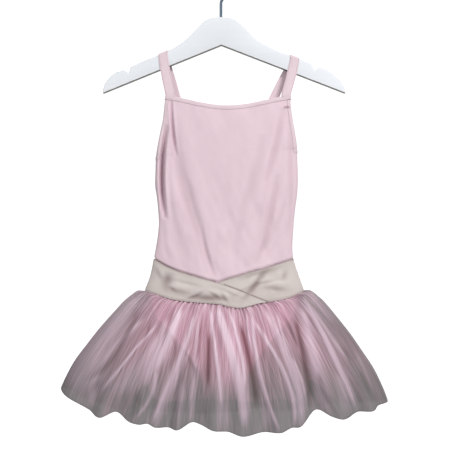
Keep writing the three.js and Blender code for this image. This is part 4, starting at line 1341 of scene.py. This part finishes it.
def skirt_layer(name, layer, face, finish, flat):
    u, v = grid(NET_GRID["columns"], NET_GRID["rows"])
    s, t = face * np.cos(np.pi * u), v ** NET_GRID["crowd_top"]
    base = skirt_base(layer, face, s, t)
    out = way_out(base, square_sides=True)
    gather, gathered = gathers_at(layer, u, t)
    place = s if face < 0 else back_place(s)
    place = np.clip(place + layer["shift"] * np.sin(3.1 * math.tau * place), -1, 1)
    dense, gap = folds_at(place, t)
    fold = FOLD_HEIGHT["fold"] * dense - FOLD_HEIGHT["hollow"] * gap
    grown = layer["flutes"] * t ** FLUTE_GROWS
    side = smooth(1, 0.97, np.abs(s))
    stand = side * (gather + layer["flutes"] * fold) + flute_out(place) * grown
    points = base + stand[..., None] * out
    points[..., 2] -= layer["under"] + layer["high"] * np.maximum(out[..., 2], 0)
    # at the side seams the back hangs as the front does
    own_end, seam_end = -face * np.sign(s), np.sign(s)
    matched = hem_drop(layer, seam_end, t) - hem_drop(layer, own_end, t)
    points[..., 2] -= hem_drop(layer, place, t) + smooth(0.8, 1, np.abs(s)) * matched
    values = net_values(layer, points, s, t, gather, gathered, dense, gap)
    return cloth(name, points, flat, finish, values=values)


LAYERS = (
    ("skirt_net", "skirt_outer", OUTER, OUTER_NET, (560, 168)),
    ("underskirt_net", "skirt_inner", INNER, INNER_NET, (330, 128)),
)
for word, face, held_by in (("front", -1, [over, under]), ("back", 1, [band])):
    for slot, node, layer, finish, flat in LAYERS:
        width = skirt_layer(f"{slot}_{word}", layer, face, finish, flat)
        cut_from(belongs(width, slot, f"{node}_{word}"), flat, layers=1)

# %% [markdown]
# ## Hanger
#
# The wooden body is one flat board cut to an outline and painted. Its edges are rubbed round, so
# the outline is extruded and a Bevel modifier rounds it. Its underside is in shade, so the mesh
# carries a value `under` for faces that look down, and the finish paints that shade dark there. The
# wire hook is a round bar bent in one plane: a ring of points is carried along straight, bend and
# crown.

# %% Outline of the board
ARM_NOTCH = {"out": 120.3, "z": -130.9, "lip": 126.8}
ARM_TIP = table(
    ("out", "z"),
    (126.8, -126.4), (138.4, -130.6), (147.9, -138.2), (154.2, -146.2), (156.9, -153.6),
    (157.3, -159.2),
)
ARM_REACH = {-1: (-2.9, 2), 1: (2.9, -2)}  # the photo's left tip is shorter than the right one
EDGE = {"round": 1.9, "steps": 4, "sharp": 50, "smooth": 35}  # rubbed round by this many mm


def through(rows, count):
    """A smooth line through a table of places, evenly stepped."""
    place = np.concatenate([[0], np.cumsum(np.hypot(np.diff(rows["out"]), np.diff(rows["z"])))])
    held = {**rows, "at": place}
    at = np.linspace(0, place[-1], count)
    return np.stack([curve(held, "at", "out")(at), curve(held, "at", "z")(at)], -1)


def arm_outline(side):
    top = through(ARM_TOP, 60)
    tip = through(ARM_TIP, 24)
    share = (tip[:, :1] - ARM_NOTCH["lip"]) / (ARM_TIP["out"][-1] - ARM_NOTCH["lip"])
    tip = tip + share * np.array(ARM_REACH[side])
    notch = np.array([[ARM_NOTCH["out"], ARM_NOTCH["z"]]])
    return np.concatenate([top, notch, tip]) * (side, 1)


print("points along an arm:", len(arm_outline(1)))


# %% The board and its paint
def made_plain(piece):
    """Keeps what a piece's modifiers make as its own mesh, and takes the modifiers off."""
    result = piece.evaluated_get(bpy.context.evaluated_depsgraph_get())
    piece.data = bpy.data.meshes.new_from_object(result)
    piece.modifiers.clear()
    return piece.data


def hanger_board(finish):
    right, left = arm_outline(1), arm_outline(-1)
    outline = np.concatenate([[(0, WOOD["apex"])], right[::-1], left[1:]])
    x, z = tilted(outline[:, 0], outline[:, 1])
    count, half = len(x), WOOD["thick"] / 2
    front = np.stack([x, np.full(count, -half), z], -1)
    back = front + (0, WOOD["thick"], 0)
    ring = np.arange(count)
    after = np.roll(ring, -1)
    sides = np.stack([ring, ring + count, after + count, after], -1).tolist()
    faces = [ring.tolist(), (ring + count)[::-1].tolist(), *sides]
    board = mesh_piece("hanger_board", np.concatenate([front, back]), faces, finish)
    rounding = board.modifiers.new("rubbed_edges", "BEVEL")
    rounding.width, rounding.segments = EDGE["round"] * MM, EDGE["steps"]
    rounding.limit_method, rounding.angle_limit = "ANGLE", math.radians(EDGE["sharp"])
    shaped = made_plain(board)
    shade_smooth(shaped, EDGE["smooth"])
    faces_down = np.array([-corner.normal.z for corner in shaped.vertices])
    # painted shade: faces that look down get the value under
    hold(shaped, "under", smooth(0.05, 0.35, faces_down))
    return board


def paint_look():
    look = Look("white_paint", Coat_Weight=0.15, Coat_Roughness=0.25)
    grain = look.noise((9.0, 60.0, 150.0), 4.0, 0.6, "Object")
    slow = look.noise((12.0, 12.0, 12.0), 2.0, 0.5, "Object")
    tone = (0.5 * grain + 0.5 * slow).kept()
    white = look.mixed(tone, paint(223, 227, 231), paint(235, 238, 243))
    # painted shade: the underside is mixed towards a dark brown grey
    look.feed(Base_Color=look.mixed(look.value_of("under"), white, paint(74, 68, 64)))
    look.feed(Roughness=0.3 + 0.2 * grain)
    look.bump(grain, 0.2, 0.0003)
    return look.material


board = hanger_board(paint_look())
belongs(board, "painted_wood", "hanger_body")
print("board faces:", len(board.data.polygons))

# %% Hook
WIRE = {"radius": 1.95, "crown": 18, "bend": 10, "in_wood": 18, "end": 1.1 * math.pi}
WIRE_STEPS = {"shank": 12, "bend": 14, "crown": 80, "tip": 7, "round": 20}
THINNEST = 0.02  # the last ring's radius, closed by one face


def hook_path():
    middle = WIRE["radius"] - WIRE["crown"]
    across = WIRE["crown"] + WIRE["bend"]
    bend_z = middle - math.sqrt(across**2 - WIRE["bend"] ** 2)
    meets = math.asin(WIRE["bend"] / across)
    low = WOOD["foot"] - WIRE["in_wood"]
    shank = [(0, z) for z in np.linspace(low, bend_z, WIRE_STEPS["shank"])]
    bend = [
        (WIRE["bend"] * (1 - math.cos(turn)), bend_z + WIRE["bend"] * math.sin(turn))
        for turn in np.linspace(0, math.pi / 2 - meets, WIRE_STEPS["bend"])[1:]
    ]
    crown = [
        (WIRE["crown"] * math.cos(turn), middle + WIRE["crown"] * math.sin(turn))
        for turn in np.linspace(meets - math.pi / 2, WIRE["end"], WIRE_STEPS["crown"])[1:]
    ]
    return np.array(shank + bend + crown)


def with_round_tip(path, along):
    """The wire's radius along its path, which goes on past its end to make half a ball."""
    turn = np.linspace(math.pi / 2, 0, WIRE_STEPS["tip"])[1:]
    tip = path[-1] + WIRE["radius"] * np.cos(turn)[:, None] * along[-1]
    radius = np.full(len(path), WIRE["radius"])
    radius = np.concatenate([radius, np.maximum(WIRE["radius"] * np.sin(turn), THINNEST)])
    along = np.concatenate([along, np.repeat(along[-1:], len(turn), 0)])
    return np.concatenate([path, tip]), along, radius


def ring_faces(rings, sides):
    """Faces between the rings of a bar, and one face to close each of its ends."""
    i, j = np.meshgrid(np.arange(sides), np.arange(rings - 1))
    a, b = (j * sides + i).ravel(), (j * sides + (i + 1) % sides).ravel()
    around = np.stack([a, b, b + sides, a + sides], -1).tolist()
    last = (rings - 1) * sides
    return [*around, list(range(sides))[::-1], list(range(last, last + sides))]


def hook(finish):
    path = hook_path()
    along = np.gradient(path, axis=0)
    along /= np.linalg.norm(along, axis=1, keepdims=True)
    path, along, radius = with_round_tip(path, along)
    turn = np.linspace(0, math.tau, WIRE_STEPS["round"] + 1)[:-1][None, :, None]
    beside = np.stack([along[:, 1], 0 * radius, -along[:, 0]], -1)[:, None, :]
    centre = np.stack([path[:, 0], 0 * radius, path[:, 1]], -1)[:, None, :]
    ring = np.cos(turn) * beside + np.sin(turn) * (0, 1, 0)
    points = (centre + radius[:, None, None] * ring).reshape(-1, 3)
    faces = ring_faces(len(path), WIRE_STEPS["round"])
    return mesh_piece("hanger_hook_wire", points, faces, finish, sharp_from=60)


def wire_look():
    look = Look("dark_plated_wire", Metallic=1.0)
    drawn = look.noise((900.0, 900.0, 30.0), 2.0, 0.5, "Object")
    look.feed(Base_Color=look.mixed(drawn, paint(66, 78, 90), paint(96, 108, 120)))
    look.feed(Roughness=0.26 + 0.16 * drawn)
    return look.material


wire = hook(wire_look())
belongs(wire, "hook_wire", "hanger_hook")
print("hook faces:", len(wire.data.polygons))

# %% [markdown]
# ## Stitches
#
# A line of stitches is one small shape that repeats along a path, so Geometry Nodes make it. The
# seams collected above become one mesh of edges. The tree turns it into curves, puts a point every
# few millimetres, sets a rounded stitch on each point and turns it along the seam. Instances would
# be lost on export, so they are made real before the result is kept as a plain mesh.

# %% A tree that sews
STITCH = {"Pitch": 2.9, "Length": 2.3, "Thread": 0.55}


def sewing_tree():
    tree = bpy.data.node_groups.new("line_of_stitches", "GeometryNodeTree")
    tree.interface.new_socket("Seams", in_out="INPUT", socket_type="NodeSocketGeometry")
    for name, size in STITCH.items():
        tree.interface.new_socket(name, in_out="INPUT", socket_type="NodeSocketFloat")
    tree.interface.new_socket("Finish", in_out="INPUT", socket_type="NodeSocketMaterial")
    tree.interface.new_socket("Stitches", in_out="OUTPUT", socket_type="NodeSocketGeometry")

    def node(kind, settings=None, **inputs):
        made = tree.nodes.new(kind)
        for key, value in (settings or {}).items():
            setattr(made, key, value)
        for key, value in inputs.items():
            socket = made.inputs[key.replace("_", " ")]
            if isinstance(value, bpy.types.NodeSocket):
                tree.links.new(value, socket)
            else:
                socket.default_value = value
        return made.outputs

    given = node("NodeGroupInput")
    seam = node("GeometryNodeMeshToCurve", Mesh=given["Seams"])["Curve"]
    places = node("GeometryNodeResampleCurve", {"mode": "LENGTH"}, Curve=seam, Length=given["Pitch"])
    bead = node("GeometryNodeMeshUVSphere", Segments=6, Rings=4, Radius=0.5)["Mesh"]
    along = node("GeometryNodeInputTangent")["Tangent"]
    turned = node("FunctionNodeAlignRotationToVector", {"axis": "Z"}, Vector=along)["Rotation"]
    size = node("ShaderNodeCombineXYZ", X=given["Thread"], Y=given["Thread"], Z=given["Length"])
    laid = node(
        "GeometryNodeInstanceOnPoints",
        Points=places["Curve"], Instance=bead, Rotation=turned, Scale=size["Vector"],
    )
    real = node("GeometryNodeRealizeInstances", Geometry=laid["Instances"])["Geometry"]
    dyed = node("GeometryNodeSetMaterial", Geometry=real, Material=given["Finish"])["Geometry"]
    tree.links.new(dyed, tree.nodes.new("NodeGroupOutput").inputs["Stitches"])
    return tree


thread_tree = sewing_tree()
print("nodes in the tree:", len(thread_tree.nodes))


# %% Thread, and a seam that is sewn with it
def sewn(name, lines, finish):
    starts = np.cumsum([0] + [len(line) for line in lines])
    edges = [(k, k + 1) for a, b in zip(starts[:-1], starts[1:]) for k in range(a, b - 1)]
    mesh = bpy.data.meshes.new(name)
    mesh.from_pydata((np.concatenate(lines) * MM).tolist(), edges, [])
    piece = in_scene(name, mesh)
    sewing = piece.modifiers.new("sewing", "NODES")
    sewing.node_group = thread_tree
    named = {item.name: item.identifier for item in thread_tree.interface.items_tree}
    for key, size in STITCH.items():
        sewing[named[key]] = size * MM
    sewing[named["Finish"]] = finish
    stitches = made_plain(piece)
    stitches.polygons.foreach_set("use_smooth", [True] * len(stitches.polygons))
    print(name, "faces:", len(stitches.polygons))
    return piece


def thread_look(name, colour):
    look = Look(name, Roughness=0.6, Sheen_Weight=0.2, Sheen_Roughness=0.4)
    twist = look.noise((1400.0, 1400.0, 1400.0), 2.0, 0.5, "Object")
    deep = tuple(0.72 * c for c in colour[:3]) + (1.0,)
    look.feed(Base_Color=look.mixed(twist, deep, colour))
    return look.material


pink_thread = thread_look("pink_thread", paint(206, 172, 184))
beige_thread = thread_look("beige_thread", paint(196, 184, 178))
print("threads:", pink_thread.name, beige_thread.name)

# %% A bar tack joins the seams, and all are sewn
TACK = {"x": 82, "z": -176.5, "long": 7, "high": 1.3, "turns": 15, "out": 1.6}


def bar_tack():
    """A short, tight zigzag that holds the strap to the right neck corner."""
    f = np.linspace(0, 1, TACK["turns"])
    zigzag = TACK["z"] + TACK["high"] * (2 * (np.arange(TACK["turns"]) % 2) - 1)
    place = front_of(place_of(TACK["x"] + TACK["long"] * f, TACK["z"]), zigzag, 0)
    return place - np.array([0, TACK["out"], 0])


SEAMS["jersey"].append(bar_tack())
belongs(sewn("jersey_stitches", SEAMS["jersey"], pink_thread), "binding")
belongs(sewn("satin_stitches", SEAMS["satin"], beige_thread), "satin")

# %% [markdown]
# ## Stage
#
# The photo is a cut-out on white, so the stage is a plain pale floor that curves up into a wall on
# all sides, as a wide bowl, and looks the same from everywhere. The light is large and soft. The
# camera stands far enough back to see the garment nearly square on, at the photo's scale.

# %% Floor and wall
STAGE = {"hub": 0.1, "flat": 2600.0, "bend": 1000.0, "low": -1750.0, "wall": 5200.0}
STAGE_STEPS = {"bend": 24, "round": 96}


def backdrop():
    look = Look(
        "pale_backdrop", Roughness=0.9, Base_Color=(0.93, 0.93, 0.93, 1),
        Emission_Color=(1, 1, 1, 1), Emission_Strength=0.72,
    )
    turn = np.linspace(0, math.pi / 2, STAGE_STEPS["bend"])
    far = STAGE["flat"] + STAGE["bend"]
    out = np.array([STAGE["hub"], *(STAGE["flat"] + STAGE["bend"] * np.sin(turn)), far])[:, None]
    up = np.array([0, *(STAGE["bend"] * (1 - np.cos(turn))), STAGE["wall"]])[:, None]
    way = np.linspace(0, math.tau, STAGE_STEPS["round"] + 1)[None, :]
    places = (out * np.cos(way), out * np.sin(way), up + STAGE["low"])
    points = np.stack(np.broadcast_arrays(*places), -1).reshape(-1, 3)
    faces = grid_faces(STAGE_STEPS["round"], len(out) - 1).tolist()
    return mesh_piece("stage_backdrop", points, faces, look.material)


pale_bowl = backdrop()
pale_bowl.visible_diffuse = False  # it is only seen: the garment's light comes from lamps and sky
pale_bowl.visible_shadow = False
print("backdrop faces:", len(pale_bowl.data.polygons))


# %% Light
def area_light(name, place, aim, size, power):
    light = bpy.data.lights.new(name, "AREA")
    light.shape, light.size, light.energy = "DISK", size, power
    lamp = in_scene(name, light)
    lamp.location = place
    way = np.array(aim) - np.array(place)
    lamp.rotation_euler = (
        math.atan2(math.hypot(way[0], way[1]), -way[2]), 0, math.atan2(-way[0], way[1])
    )


GARMENT_MIDDLE = (0.01, 0.0, -0.35)
area_light("key_light", (1.0, -1.7, 1.0), GARMENT_MIDDLE, 0.6, 36)
area_light("fill_light", (-1.3, -2.3, 0.2), GARMENT_MIDDLE, 1.6, 14)
area_light("back_light", (0.3, 1.0, 1.9), GARMENT_MIDDLE, 1.4, 8)
area_light("rear_light", (1.2, 2.3, 0.5), GARMENT_MIDDLE, 1.4, 26)

scene = bpy.context.scene
world = scene.world or bpy.data.worlds.new("studio")
scene.world = world
world.use_nodes = True
sky = world.node_tree.nodes["Background"].inputs
sky["Color"].default_value = (1, 1, 1, 1)
sky["Strength"].default_value = 0.3
scene.view_settings.view_transform = "Standard"
scene.cycles.transparent_max_bounces = 40

# %% Camera
MM_PER_PIXEL, FRAME_PIXELS = 1.3, 460
LOOK_AT = (11.7, -336.0)  # x and z that the middle of the photo shows
CAMERA_AWAY = 2.2  # metres

camera = in_scene("camera", bpy.data.cameras.new("camera"))
camera.location = (LOOK_AT[0] * MM, -CAMERA_AWAY, LOOK_AT[1] * MM)
camera.rotation_euler = (math.pi / 2, 0, 0)
camera.data.lens = camera.data.sensor_width * CAMERA_AWAY / (MM_PER_PIXEL * FRAME_PIXELS * MM)
scene.camera = camera
print("lens, mm:", round(camera.data.lens, 1))

# %% [markdown]
# ## Done
#
